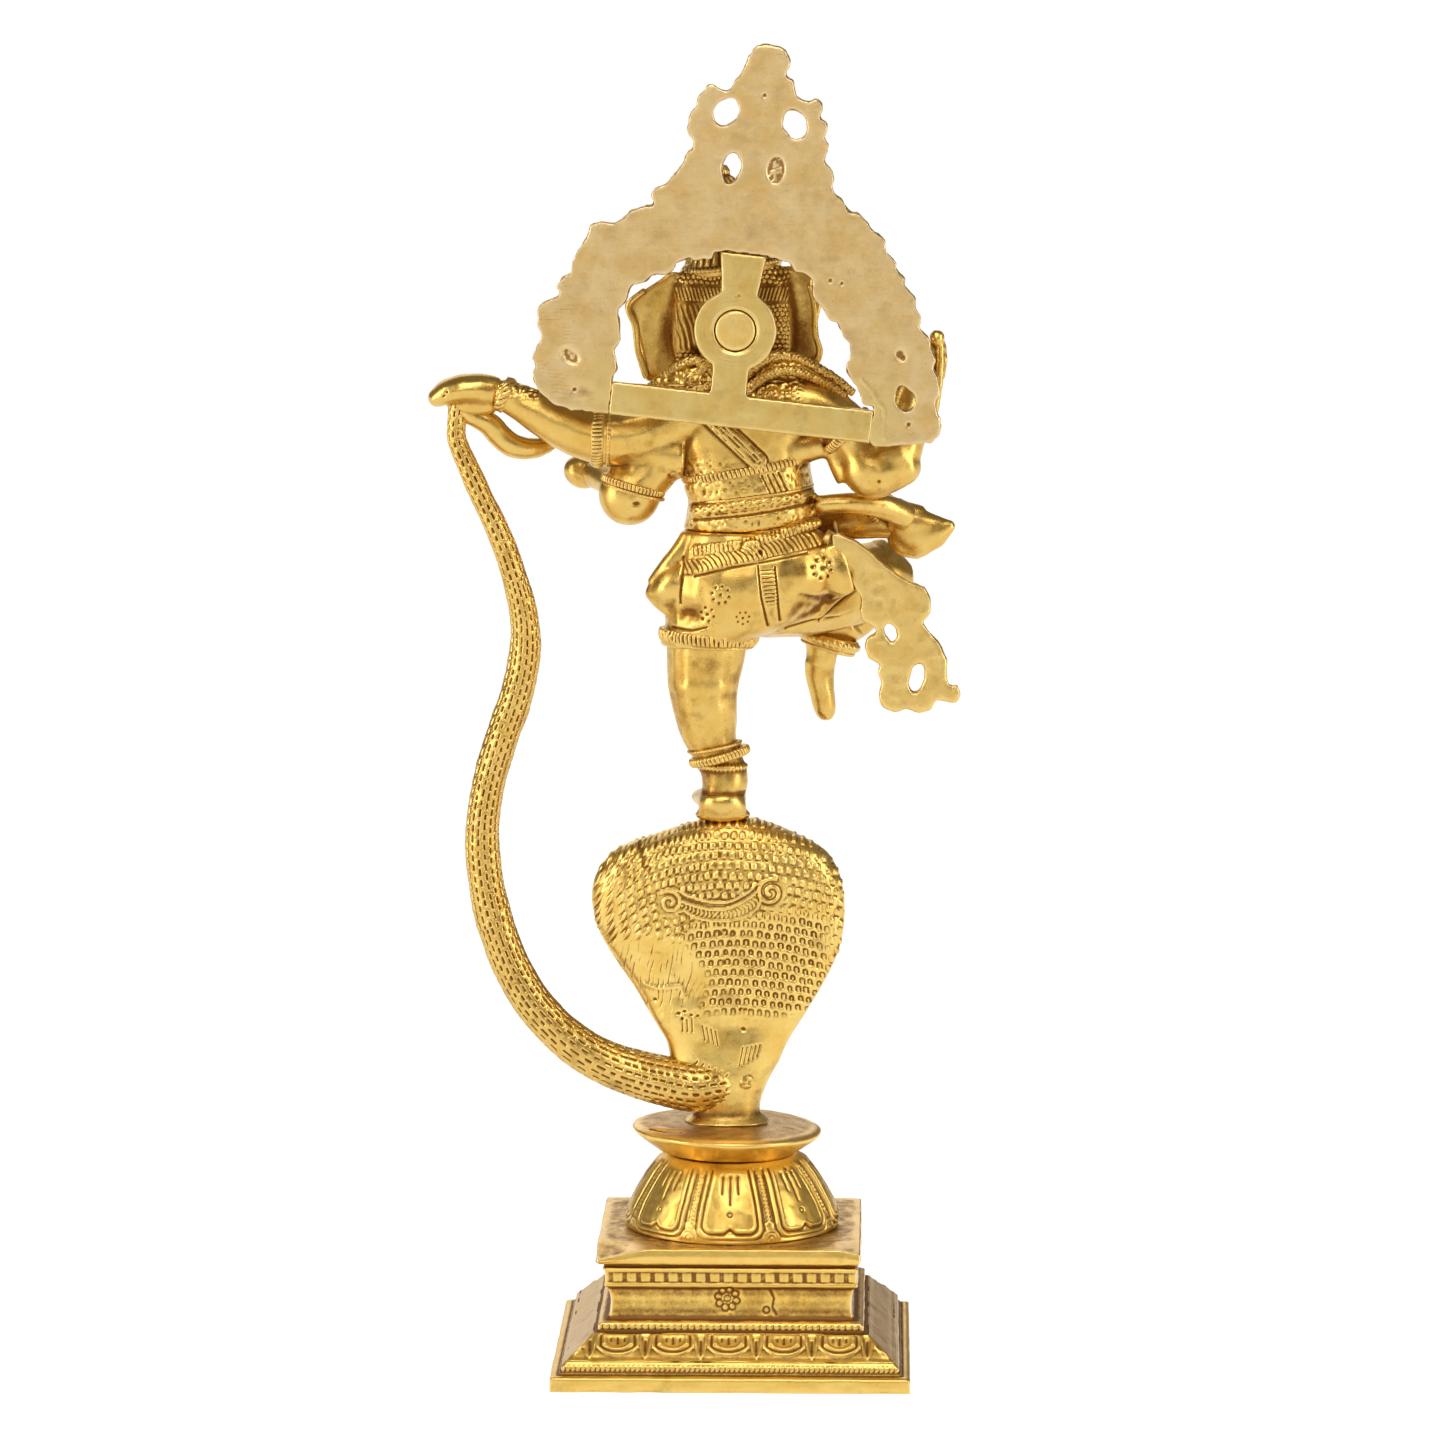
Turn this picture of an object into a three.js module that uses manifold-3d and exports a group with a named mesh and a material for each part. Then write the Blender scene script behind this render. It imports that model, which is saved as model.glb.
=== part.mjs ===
// A cast brass statue: an elephant-headed dancer on the hood of a cobra, on a lotus and a stepped
// square plinth, with a pierced aureole plate that hangs and turns on a peg behind the head.
// Millimetres, +Z up. The dancer faces -Y, so +X is the dancer's left and +Y is the back.
import * as THREE from 'three';
import { mergeVertices } from 'three/addons/utils/BufferGeometryUtils.js';
import Module from 'manifold-3d';

const wasm = await Module();
wasm.setup();

// ---------- driving dimensions ----------
const GAP = 0.3; // brazed or cast seam between neighbouring pieces

const PLINTH_HALF = 61.6; // half the side of the foot
const PLINTH_TOP = 46;
const WALL = 4; // thickness of the hollow castings
const FOOTPRINT_X = 13.2; // the tail reaches left, so the footprint's middle is off the plinth's
const LOTUS_X = 1.5; // the lotus and the disc stand a little off the plinth's middle
const LOTUS_FOOT_R = 37.5;
const LOTUS_NECK_R = 22.6;
const LOTUS_TOP = 71.7;
const DISC_X = 2.5;
const DISC_R = 33;
const DISC_TOP = 82.3;

const PEG_X = -1.1; // the aureole's peg, on the back of the head
const PEG_Z = 360;
const PEG_R = 7.2;
const RING_HOLE_R = 7.3; // a running fit on the peg
const RING_R = 13.8;
const AUREOLE_BACK = 29; // the filed back face of the aureole
const AUREOLE_THICK = 5.5;
const BRACKET_THICK = 4;
const TILT = THREE.MathUtils.degToRad(-6.4); // how far the aureole hangs off level at rest

const SCROLL_BACK = 9; // the filed back face of the pierced sash end
const SCROLL_THICK = 4;

// ---------- shape helpers ----------
const vec = ([x, y, z]) => new THREE.Vector3(x, y, z);

// A manifold-3d solid from a closed three.js geometry.
function solid(geometry) {
  const bare = new THREE.BufferGeometry();
  const loose = geometry.index ? geometry.toNonIndexed() : geometry;
  bare.setAttribute('position', loose.getAttribute('position').clone());
  const merged = mergeVertices(bare, 1e-4);
  const build = (flip) => {
    const corners = [];
    for (let i = 0; i < merged.index.count; i += 3) {
      const [a, b, c] = [0, 1, 2].map((k) => merged.index.getX(i + k));
      if (a !== b && b !== c && c !== a) corners.push(a, flip ? c : b, flip ? b : c);
    }
    return new wasm.Manifold(new wasm.Mesh({
      numProp: 3,
      vertProperties: new Float32Array(merged.getAttribute('position').array),
      triVerts: new Uint32Array(corners),
    }));
  };
  const made = build(false);
  return made.volume() < 0 ? build(true) : made;
}

// The geometry of a manifold-3d solid.
function geometryOf(made) {
  const mesh = made.getMesh();
  const points = new Float32Array(mesh.numVert * 3);
  for (let i = 0; i < mesh.numVert; i++) {
    points.set(mesh.vertProperties.subarray(i * mesh.numProp, i * mesh.numProp + 3), i * 3);
  }
  const geometry = new THREE.BufferGeometry();
  geometry.setAttribute('position', new THREE.BufferAttribute(points, 3));
  geometry.setIndex(new THREE.BufferAttribute(new Uint32Array(mesh.triVerts), 1));
  geometry.computeVertexNormals();
  return geometry;
}

// A closed skin over rings that all have the same number of points, with a fan on each end.
function skin(rings) {
  const n = rings[0].length;
  const points = rings.flat().flatMap((p) => [p.x, p.y, p.z]);
  const middle = (ring) => ring.reduce((sum, p) => sum.add(p), new THREE.Vector3()).divideScalar(n);
  const first = middle(rings[0]);
  const last = middle(rings.at(-1));
  points.push(...first.toArray(), ...last.toArray());
  const corners = [];
  const [firstAt, lastAt] = [rings.length * n, rings.length * n + 1];
  for (let j = 0; j < n; j++) {
    const k = (j + 1) % n;
    for (let i = 0; i + 1 < rings.length; i++) {
      const [a, b, c, d] = [i * n + j, i * n + k, (i + 1) * n + j, (i + 1) * n + k];
      corners.push(a, b, d, a, d, c);
    }
    corners.push(firstAt, k, j, lastAt, lastAt - 1 - n + j, lastAt - 1 - n + k);
  }
  const geometry = new THREE.BufferGeometry();
  geometry.setAttribute('position', new THREE.Float32BufferAttribute(points, 3));
  geometry.setIndex(corners);
  return solid(geometry);
}

// A smooth value at share u of a list.
function along(values, u) {
  const at = u * (values.length - 1);
  const i = Math.min(Math.floor(at), values.length - 2);
  const t = at - i;
  const v = (k) => values[THREE.MathUtils.clamp(k, 0, values.length - 1)];
  const ease = (a, b, c, d) => 0.5 * (2 * b + (c - a) * t + (2 * a - 5 * b + 4 * c - d) * t * t
    + (3 * b - a - 3 * c + d) * t * t * t);
  return ease(v(i - 1), v(i), v(i + 1), v(i + 2));
}

// A limb with rounded ends. Each station is [x, y, z, half width, half depth]; the depth lies along
// facing as nearly as the limb's direction allows.
function limb(stations, { facing = [0, 1, 0], sides = 12, steps, grow = 0, round = 3 } = {}) {
  const curve = new THREE.CatmullRomCurve3(stations.map(vec), false, 'catmullrom', 0.5);
  const count = steps ?? (stations.length - 1) * 2;
  const widths = stations.map((s) => s[3]);
  const depths = stations.map((s) => s[4] ?? s[3]);
  const rings = [];
  const ring = (u, push, shrink) => {
    const centre = curve.getPoint(u);
    const tangent = curve.getTangent(u);
    const deep = vec(facing).addScaledVector(tangent, -tangent.dot(vec(facing))).normalize();
    const wide = new THREE.Vector3().crossVectors(deep, tangent);
    const w = (along(widths, u) + grow) * shrink;
    const d = (along(depths, u) + grow) * shrink;
    centre.addScaledVector(tangent, push * (Math.min(along(widths, u), along(depths, u)) + grow));
    rings.push(Array.from({ length: sides }, (_, j) => {
      const a = (j / sides) * 2 * Math.PI;
      return centre.clone().addScaledVector(wide, w * Math.cos(a)).addScaledVector(deep, d * Math.sin(a));
    }));
  };
  const angles = Array.from({ length: round }, (_, i) => ((i + 1) / (round + 0.6)) * (Math.PI / 2));
  for (const a of [...angles].reverse()) ring(0, -Math.sin(a), Math.cos(a));
  for (let i = 0; i <= count; i++) ring(i / count, 0, 1);
  for (const a of angles) ring(1, Math.sin(a), Math.cos(a));
  return skin(rings);
}

// A trunk of level cross-sections. Each level is [z, left x, right x, middle y, half depth].
function column(levels, { sides = 20, power = 2.2, grow = 0 } = {}) {
  const squash = (c) => Math.sign(c) * Math.abs(c) ** (2 / power);
  const last = levels.length - 1;
  return skin(levels.map(([z, left, right, y, depth], i) => {
    const lift = i === 0 ? -grow : i === last ? grow : 0;
    return Array.from({ length: sides }, (_, j) => {
      const a = (j / sides) * 2 * Math.PI;
      return new THREE.Vector3(
        (left + right) / 2 + ((left - right) / 2 + grow) * squash(Math.cos(a)),
        y + (depth + grow) * squash(Math.sin(a)),
        z + lift,
      );
    });
  }));
}

// Stacked square sections. Each level is [half side, z].
function stepped(levels, grow = 0) {
  const last = levels.length - 1;
  return skin(levels.map(([half, z], i) => [[1, 1], [-1, 1], [-1, -1], [1, -1]].map(([sx, sy]) =>
    new THREE.Vector3(
      sx * (half + grow),
      sy * (half + grow),
      z + (i === 0 ? -grow : i === last ? grow : 0),
    ))));
}

// A turned piece about a vertical axis. The profile of [radius, z] starts and ends on the axis.
function turned(profile, { x = 0, y = 0, sides = 32, grow = 0 } = {}) {
  const heights = profile.map((p) => p[1]);
  const middle = (Math.max(...heights) + Math.min(...heights)) / 2;
  const swell = ([r, z]) => new THREE.Vector2(r && r + grow, z + Math.sign(z - middle) * grow);
  const points = profile.map(swell);
  return solid(new THREE.LatheGeometry(points, sides).rotateX(Math.PI / 2).translate(x, y, 0));
}

// A flat plate with an outline of [x, z], between two values of y, with holes of the same kind.
function plate(outline, back, thick, holes = []) {
  const shape = new THREE.Shape(outline.map(([x, z]) => new THREE.Vector2(x, z)));
  shape.holes = holes.map((hole) => new THREE.Path(hole.map(([x, z]) => new THREE.Vector2(x, z))));
  const geometry = new THREE.ExtrudeGeometry(shape, { depth: thick, bevelEnabled: false });
  return solid(geometry.rotateX(Math.PI / 2).translate(0, back, 0));
}

// The points of an oval of [x, z].
function oval(x, z, halfWide, halfHigh, lean = 0, count = 12) {
  return Array.from({ length: count }, (_, i) => {
    const a = (i / count) * 2 * Math.PI;
    const [u, v] = [halfWide * Math.cos(a), halfHigh * Math.sin(a)];
    return [x + u * Math.cos(lean) - v * Math.sin(lean), z + u * Math.sin(lean) + v * Math.cos(lean)];
  });
}

// The slice of space that a band fills: a short cylinder about an axis.
function slice(centre, axis, width, reach) {
  const turn = new THREE.Quaternion().setFromUnitVectors(new THREE.Vector3(0, 1, 0), vec(axis).normalize());
  const geometry = new THREE.CylinderGeometry(reach, reach, width, 12);
  return solid(geometry.applyQuaternion(turn).translate(...centre));
}

// ---------- the pieces of the statue ----------
const brass = (tone) => new THREE.MeshStandardMaterial({ color: tone, roughness: 0.36, metalness: 1 });
const cast = brass(0xc79a3a);
const dark = brass(0xa87a2c);
const filed = brass(0xcfb06a);

const statue = new THREE.Group();
const fitted = [];

function bounds(made) {
  const { min, max } = made.boundingBox();
  return new THREE.Box3(vec(min), vec(max));
}

function largest(made) {
  return made.decompose().reduce((best, part) => (part.volume() > best.volume() ? part : best));
}

// Adds a piece. make(grow) gives its whole shape, swollen by grow; what earlier pieces fill is cut away.
function piece(name, material, make) {
  let made = make(0);
  for (const other of fitted) {
    if (other.box.intersectsBox(bounds(made))) made = made.subtract(other.swollen);
  }
  const swollen = make(GAP);
  fitted.push({ name, make, swollen, box: bounds(swollen) });
  const mesh = new THREE.Mesh(geometryOf(largest(made)), material);
  mesh.name = name;
  statue.add(mesh);
}

// A band that hugs an earlier piece: the layer of a given thickness over it, inside one slice.
function bandOn(name, host, { centre, axis, width, thick = 1.5, reach = 14 }) {
  const { make } = fitted.find((p) => p.name === host);
  piece(name, dark, (grow) => make(thick + grow)
    .intersect(slice(centre, axis, width + 2 * grow, reach + grow)));
}

// ----- base -----
const PLINTH_LEVELS = [
  [PLINTH_HALF, 0], [PLINTH_HALF, 4.6], [60.4, 5], // foot slab
  [57.8, 5.2], [58.5, 7.2], [57.6, 9.2], [55.4, 9.5], // beaded moulding
  [54.6, 11], [51.8, 13.2], [48.6, 15.6], [46.6, 17.6], // petalled slope
  [45.4, 17.9], [45.8, 19.3], [45.2, 20.7], // rope moulding
  [42.2, 21.1], [41.5, 24], [41.5, 29], [42.4, 32.4], // hollow neck
  [43.3, 32.9], [43.3, 38.8], [42.4, 39.2], [42.4, 40.1], // blocked band
  [44.4, 40.5], [45, 43.2], [44.4, PLINTH_TOP], // cap slab
];
const PLINTH_HOLLOW = [
  [PLINTH_HALF - WALL, -1], [PLINTH_HALF - WALL, 5], [52, 9], [42, 17], [37.5, 22],
  [37.5, PLINTH_TOP - WALL],
];
piece('plinth', cast, (grow) => {
  const outside = stepped(PLINTH_LEVELS, grow);
  return grow ? outside : outside.subtract(stepped(PLINTH_HOLLOW));
});

const lotusFoot = PLINTH_TOP + GAP;
piece('lotus_seat', cast, (grow) => turned([
  [0, LOTUS_TOP], [LOTUS_NECK_R, LOTUS_TOP], [24, 70.4], [27.6, 67], [31.4, 62], [34.6, 57], [36.8, 52],
  [LOTUS_FOOT_R, 48.4], [LOTUS_FOOT_R - 0.6, lotusFoot],
  ...(grow ? [] : [[LOTUS_FOOT_R - WALL, lotusFoot], [32, 52], [26.5, 60], [18, 66]]),
  [0, grow ? lotusFoot : 66],
], { x: LOTUS_X, sides: 26, grow }));

const discFoot = LOTUS_TOP + GAP;
piece('lotus_disc', cast, (grow) => turned([
  [0, DISC_TOP], [16, DISC_TOP], [26, 81.9], [31.2, 81.4], [DISC_R, 80.4], [31.4, 79.2], [27.6, 76.6],
  [24, 73.9], [LOTUS_NECK_R, discFoot], [0, discFoot],
], { x: DISC_X, sides: 28, grow }));

// ----- cobra -----
const HOOD_LEVELS = [
  [DISC_TOP + GAP, 17, -12, 0, 12], [86, 13.6, -9, 0, 9.5], [91, 15.5, -9.4, 0, 10],
  [97, 19.5, -11.8, 0, 10.5],
  [104, 21.6, -15.6, 0, 10], [111, 23.2, -18.7, 0, 9.5], [120, 28.5, -24, 0, 9], [130, 34.2, -30, 0, 9],
  [140, 41, -34.8, 0, 9], [150, 46.4, -37.6, 0, 9.5], [160, 48.6, -38, 0, 10.5], [167, 48, -36.8, 0, 11.5],
  [173, 45, -34.6, -1, 12.5], [178, 39.6, -30.6, -2, 12.6], [182.2, 28.6, -23, -2.5, 12],
  [185.8, 18, -14.5, -2.5, 10.4], [188, 9, -7, -2.5, 7.5],
];
piece('cobra_hood', cast, (grow) => column(HOOD_LEVELS, { sides: 20, power: 2.4, grow }));

piece('cobra_head', cast, (grow) => limb([
  [2, -6, 177, 14, 8], [2, -18, 179, 15, 8], [2, -30, 177.5, 12.5, 7], [2, -40, 173.5, 7.5, 4.5],
], { facing: [0, 0, 1], grow }));

const TAIL_PATH = [
  [10, 0, 95.6, 7.4], [22, 0, 96.2, 8.3], [33, 0, 98.3, 8.1], [43, 0, 101.8, 7.6], [53.5, 0, 108, 7.2],
  [62.5, 0, 115.6, 6.8], [70.5, 0, 124.8, 6.7], [76.8, 0, 135.5, 6.5], [81.2, 0, 146.5, 6.4],
  [84.9, 0, 160, 6.2], [87, 0, 174, 5.9], [87, 0, 188, 5.6], [84.6, 0, 202, 5.5], [80.6, 0, 216, 5.6],
  [75.8, 0, 230, 5.6], [72.5, 0, 244, 5.4], [72.2, 1, 258, 4.8], [75.2, 3, 272.2, 4.3],
  [79.9, 5, 286.4, 4], [86.1, 5, 300, 3.7], [92.2, 5, 313.8, 3.3], [94.8, 5, 321, 3.1], [94.6, 5, 327, 3.1],
];
piece('cobra_tail', cast, (grow) => limb(TAIL_PATH, { sides: 10, steps: 32, grow, round: 2 }));

piece('cobra_tail_tip', cast, (grow) => limb([
  [88.5, 4, 329, 3.2], [83.4, 3, 325.5, 3.4], [80.2, 2, 320.8, 3.4], [76.2, 0, 317.6, 3],
  [70.5, -2, 316.7, 2.1], [64.5, -4, 317.6, 1.2],
], { sides: 8, steps: 8, grow, round: 2 }));

// ----- standing leg -----
piece('left_foot', cast, (grow) => limb([
  [4, 4.4, 195.4, 7.6, 6], [4.2, -6, 195.2, 8, 5.8], [5.2, -16, 194, 8.4, 4.6], [6.4, -26, 192.8, 9, 3.4],
  [7.2, -34, 192.2, 8, 2.6],
], { facing: [0, 0, 1], steps: 6, grow, round: 2 }));

piece('left_leg', cast, (grow) => limb([
  [9.6, 0, 254, 12.8], [9.8, -1, 246, 12.8], [10, -1, 238, 12.1], [9.6, -1, 230, 11], [8.5, -0.3, 221, 9.9],
  [6.6, 0.6, 212, 8.6], [4.4, 1.4, 204, 7.9], [3.4, 1.6, 199, 7.8],
], { sides: 14, steps: 7, grow, round: 2 }));

bandOn('left_anklet', 'left_leg', {
  centre: [5.8, 1, 211.4], axis: [0.25, 0, 0.97], width: 3.2, thick: 1.3,
});

// ----- garment -----
piece('dhoti', cast, (grow) => {
  const pelvis = column([
    [249.6, 25.2, -5.6, 0, 14.6], [253, 24.8, -9, 0, 15.6], [257, 23.2, -20, 0, 17.2],
    [263, 24.2, -29, -0.5, 19.2], [269, 24, -35, -1, 20.5], [275, 23, -36, -1, 20.5],
    [280, 20.6, -35, -1, 19.5], [285, 19.6, -33, -1, 17.6], [289, 18, -30, -1, 16.4],
  ], { sides: 20, grow });
  const sleeve = limb([
    [-10, -2, 268, 16], [-22, -9, 268, 16.5], [-34, -17, 268, 15.6], [-43, -23, 268, 13.6],
  ], { sides: 12, steps: 3, grow, round: 1 });
  return pelvis.add(sleeve);
});
bandOn('left_hem_band', 'dhoti', {
  centre: [9.8, 0, 251], axis: [0, 0, 1], width: 2.8, thick: 1.2, reach: 19,
});

piece('left_hip_fold', cast, (grow) => limb([
  [15, 3, 273, 9, 7], [21, 4, 270, 8.4, 6], [27, 4, 268, 5, 4], [30, 4, 268.4, 1.6, 1.6],
], { sides: 10, steps: 4, grow, round: 1 }));

// ----- raised leg -----
piece('right_leg', cast, (grow) => {
  const thigh = limb([[-37, -19, 270.4, 12.2], [-47, -26, 271.6, 12], [-52.6, -30, 269.6, 11]], {
    sides: 12, steps: 2, grow, round: 2,
  });
  const shin = limb([
    [-50.6, -30, 266, 9.6], [-45, -30.5, 258.6, 8.8], [-37.6, -29.8, 252, 7.6], [-33, -29, 247.4, 6.2],
  ], { sides: 12, steps: 4, grow, round: 2 });
  return thigh.add(shin);
});
piece('right_foot', cast, (grow) => limb([
  [-30.8, -28.8, 244.4, 5.8, 6], [-30.2, -30, 237, 5.6, 6.6], [-30.4, -32, 229.5, 4.9, 5.2],
  [-31.7, -33.5, 222.6, 3.6, 3.2],
], { sides: 10, steps: 4, grow, round: 2 }));
bandOn('right_anklet', 'right_leg', {
  centre: [-34.6, -29.2, 249], axis: [0.6, 0, 0.8], width: 3, thick: 1.5,
});

// ----- body -----
piece('torso', cast, (grow) => column([
  [289.4, 17.8, -29.2, -4, 17], [293, 16.5, -28.8, -6, 19], [299, 15.6, -28, -7, 21],
  [305, 16.5, -27, -6, 20],
  [311, 19, -26, -4, 17.6], [318, 21, -26, -2, 15.6], [325, 22, -28, -1, 14.6], [332, 21, -30, 0, 13.6],
  [338, 17, -27, 0, 12], [343, 11, -17, -0.5, 10], [345.6, 8, -9, -1, 8],
], { grow }));
bandOn('waist_belt', 'torso', {
  centre: [-6, -3, 292.5], axis: [0.1, 0, 1], width: 4.4, thick: 1.6, reach: 32,
});
bandOn('chest_band', 'torso', {
  centre: [-3, -2, 309.6], axis: [0.11, 0, 1], width: 2.4, thick: 1.4, reach: 32,
});

// ----- head -----
piece('head', cast, (grow) => column([
  [346.2, 11, -11, -4, 10], [349, 14.5, -13.5, -4, 13.5], [354, 18.4, -17.4, -5, 17],
  [361, 20, -18.6, -5, 18.6],
  [368, 19.6, -17.8, -5, 18], [374, 17.6, -15.4, -5, 16.6], [378.4, 14, -11.6, -5, 13.4],
], { sides: 18, grow }));

piece('trunk', cast, (grow) => limb([
  [1, -19, 357, 8.6], [1, -27, 349, 8], [2, -33, 340, 7], [3.4, -36, 331, 6.1], [7, -36.4, 322.6, 5.4],
  [13, -35.4, 317.4, 4.7], [19, -34, 318, 4.1], [22, -33, 322.6, 3.4],
], { sides: 10, steps: 11, grow, round: 2 }));

const TUSKS = { right_tusk: [-1, 14], left_tusk: [1, 7] }; // side, length: the left one is broken short
for (const [name, [side, length]] of Object.entries(TUSKS)) {
  piece(name, cast, (grow) => limb([
    [side * 8.4, -19, 351, 2.6],
    [side * (8.4 + length * 0.1), -19 - length * 0.6, 351 - length * 0.34, 2.3],
    [side * (8.4 + length * 0.12), -19 - length, 351 - length * 0.5, length > 10 ? 1.1 : 2.2],
  ], { sides: 8, steps: 2, grow, round: 1 }));
}

const EARS = {
  left_ear: [[16, 378], [22, 378.4], [31, 372], [38, 366.6], [35, 362], [33, 356], [32, 349], [30, 340.6],
    [22, 341.6], [16, 348]],
  right_ear: [[-14, 380], [-20, 380.6], [-27, 378], [-27.4, 372], [-30.4, 367], [-29, 361], [-29.4, 355],
    [-31, 351.5], [-27, 343.5], [-20, 345], [-14, 350]],
};
for (const [name, outline] of Object.entries(EARS)) {
  piece(name, cast, (grow) => plate(outline, 4 + grow, 4 + 2 * grow));
}

const CROWN_TIERS = [[17.2, 0], [14, 9], [10.6, 18], [6.8, 26]]; // radius, height of the foot
const CROWN_LEAN = THREE.MathUtils.degToRad(7); // the head is held a little to the left
piece('crown', cast, (grow) => {
  const profile = [
    [0, -grow],
    ...CROWN_TIERS.flatMap(([r, z]) => [[r - 0.8, z && z - 1], [r, z + 1.6], [r - 2.4, z + 5]]),
    [2, 35], [0, 36.4 + grow],
  ].map(([r, z]) => new THREE.Vector2(r && r + grow, z || -grow));
  const geometry = new THREE.LatheGeometry(profile, 20).rotateX(Math.PI / 2).rotateY(CROWN_LEAN);
  return solid(geometry.translate(0.6, -5, 379.2));
});

const pegEnd = AUREOLE_BACK + 0.2;
piece('aureole_peg', cast, (grow) => {
  const profile = [[0, 9], [10, 9], [10, AUREOLE_BACK - BRACKET_THICK - GAP],
    [PEG_R, AUREOLE_BACK - BRACKET_THICK - GAP], [PEG_R, pegEnd], [0, pegEnd]];
  const points = profile.map(([r, y]) => new THREE.Vector2(r && r + grow, y));
  return solid(new THREE.LatheGeometry(points, 32).translate(PEG_X, 0, PEG_Z));
});

// ----- left arms -----
piece('left_rear_arm', cast, (grow) => limb([
  [16, 3, 330.5, 10.6], [28, 4, 324.6, 10.4], [40, 5, 321.9, 10], [50, 5.5, 323, 9.3], [60, 6, 327, 8.4],
  [70, 6, 332.2, 6.6], [78, 6, 336.2, 5.4],
], { sides: 12, steps: 9, grow, round: 2 }));
bandOn('left_rear_armlet', 'left_rear_arm', { centre: [47.6, 5.4, 322.6], axis: [1, 0, 0.02], width: 4.6 });
bandOn('left_rear_bracelet', 'left_rear_arm', {
  centre: [77.2, 6, 335.8], axis: [0.9, 0, 0.44], width: 4, thick: 1,
});
piece('left_rear_hand', cast, (grow) => limb([
  [82.4, 6, 337.6, 4.8, 4.8], [89, 6, 338.6, 4.6, 6.8], [96.4, 6, 337.8, 4.2, 7], [101.6, 6, 335.4, 2.8, 5],
], { steps: 4, grow, round: 2 }).add(limb([
  [97, 1, 334, 2.4], [95, -2, 331.4, 2.2], [91, -3.4, 330.4, 2],
], { sides: 8, steps: 2, grow, round: 1 })));

piece('left_front_arm', cast, (grow) => limb([
  [20, 1, 320, 9], [29, 3, 310, 9], [36, 4, 300.4, 9],
], { sides: 12, steps: 3, grow }).add(limb([
  [36, 1, 301.6, 6.8], [42, -9, 305, 5.4], [49, -20, 306.8, 4.6],
], { sides: 10, steps: 3, grow, round: 1 })));
bandOn('left_front_armlet', 'left_front_arm', {
  centre: [34, 4, 304.4], axis: [-0.42, 0, 0.9], width: 3.6, thick: 1.2,
});
piece('left_front_hand', cast, (grow) => limb([
  [50, -21.4, 306.2, 5, 4.2], [52.4, -28, 306.4, 6.6, 3.6], [53.6, -34, 306.8, 5.2, 2.6],
], { facing: [0, 0, 1], sides: 10, steps: 3, grow, round: 2 }));

// ----- right arms -----
piece('right_rear_arm', cast, (grow) => limb([
  [-20, 1, 331.6, 10.2], [-32, 3, 330, 10], [-41, 5, 321.4, 9.2], [-47, 7, 312.6, 8.8],
  [-49.6, 7, 309.4, 8.6],
], { sides: 12, steps: 6, grow }).add(limb([
  [-50.6, 7, 310, 8.6], [-57.4, 6, 317, 8.4], [-61, 4, 326, 6.8], [-62, 3, 334, 5.2],
], { sides: 12, steps: 5, grow })).add(limb([
  [-43.6, 6.8, 310.6, 8], [-50.5, 7, 310.4, 10.4], [-57.4, 6.8, 312, 8.4],
], { sides: 12, steps: 2, grow, round: 2 })));
bandOn('right_rear_armlet', 'right_rear_arm', {
  centre: [-42.6, 5.4, 318.8], axis: [0.56, 0, 0.83], width: 4, thick: 1.3, reach: 13,
});
piece('battle_axe', cast, (grow) => limb([
  [-61, -3, 322, 1.9], [-61.8, -3, 360, 1.9],
], { sides: 8, steps: 1, grow, round: 1 }).add(plate([
  [-60.5, 344], [-64.5, 342.6], [-70.4, 337.4], [-72.6, 342.6], [-73.2, 348], [-72.8, 353], [-71.2, 357.8],
  [-65, 352.6], [-60.5, 351.6],
], -1.6 + grow, 2.8 + 2 * grow)));
piece('right_rear_hand', cast, (grow) => limb([
  [-62, 2, 336.4, 4.8, 4.8], [-62, 0, 341.4, 6, 5.2], [-61.6, -1.4, 345.4, 5.2, 4.6],
], { sides: 10, steps: 2, grow, round: 2 }));

piece('right_front_arm', cast, (grow) => limb([
  [-14, -9, 322, 8.4], [-18, -19, 308, 8], [-20, -26, 294, 7],
], { sides: 12, steps: 4, grow, round: 2 }).add(limb([
  [-20, -26, 291.4, 6.8], [-30, -24, 290.4, 6.4], [-41, -18, 292.8, 6.2], [-51, -13, 296.4, 5.4],
], { sides: 10, steps: 5, grow, round: 1 })));
bandOn('right_front_bracelet', 'right_front_arm', {
  centre: [-49.4, -13.8, 295.8], axis: [-0.86, 0.4, 0.3], width: 3.6, thick: 1.1, reach: 10,
});
piece('right_front_hand', cast, (grow) => limb([
  [-55.4, -12.6, 294.6, 5.4, 4.6], [-59.4, -13, 289.8, 9.2, 5], [-64.6, -13, 286.4, 8.8, 4.6],
  [-70.4, -13, 287.8, 5.4, 3.4], [-74.4, -13, 289.6, 2.4, 2],
], { steps: 4, grow, round: 2 }));

// ----- pierced end of the sash, hanging at the right hip -----
const SCROLL_OUTLINE = [
  [-36, 289], [-46, 283], [-56, 275], [-61.4, 271], [-65.4, 270.4], [-67.6, 266.4], [-67.2, 262],
  [-65, 258.4],
  [-66, 256], [-70.6, 251.4], [-73, 245.4], [-73.4, 238.8], [-74.4, 236.2], [-76.8, 236.4], [-78, 233.6],
  [-76.6, 231], [-69.6, 231.8], [-67.8, 228.6], [-64, 227.4], [-59.4, 228.8], [-55.6, 227.6], [-51.6, 229],
  [-50.4, 232.6], [-51.4, 237.4], [-50.2, 241], [-50.8, 243.6], [-46.8, 246.4], [-45.4, 250], [-46.6, 253],
  [-49.6, 254.8], [-48.4, 257.4], [-44.8, 259], [-44.2, 262], [-44, 267], [-38, 276], [-34, 283],
];
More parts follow.
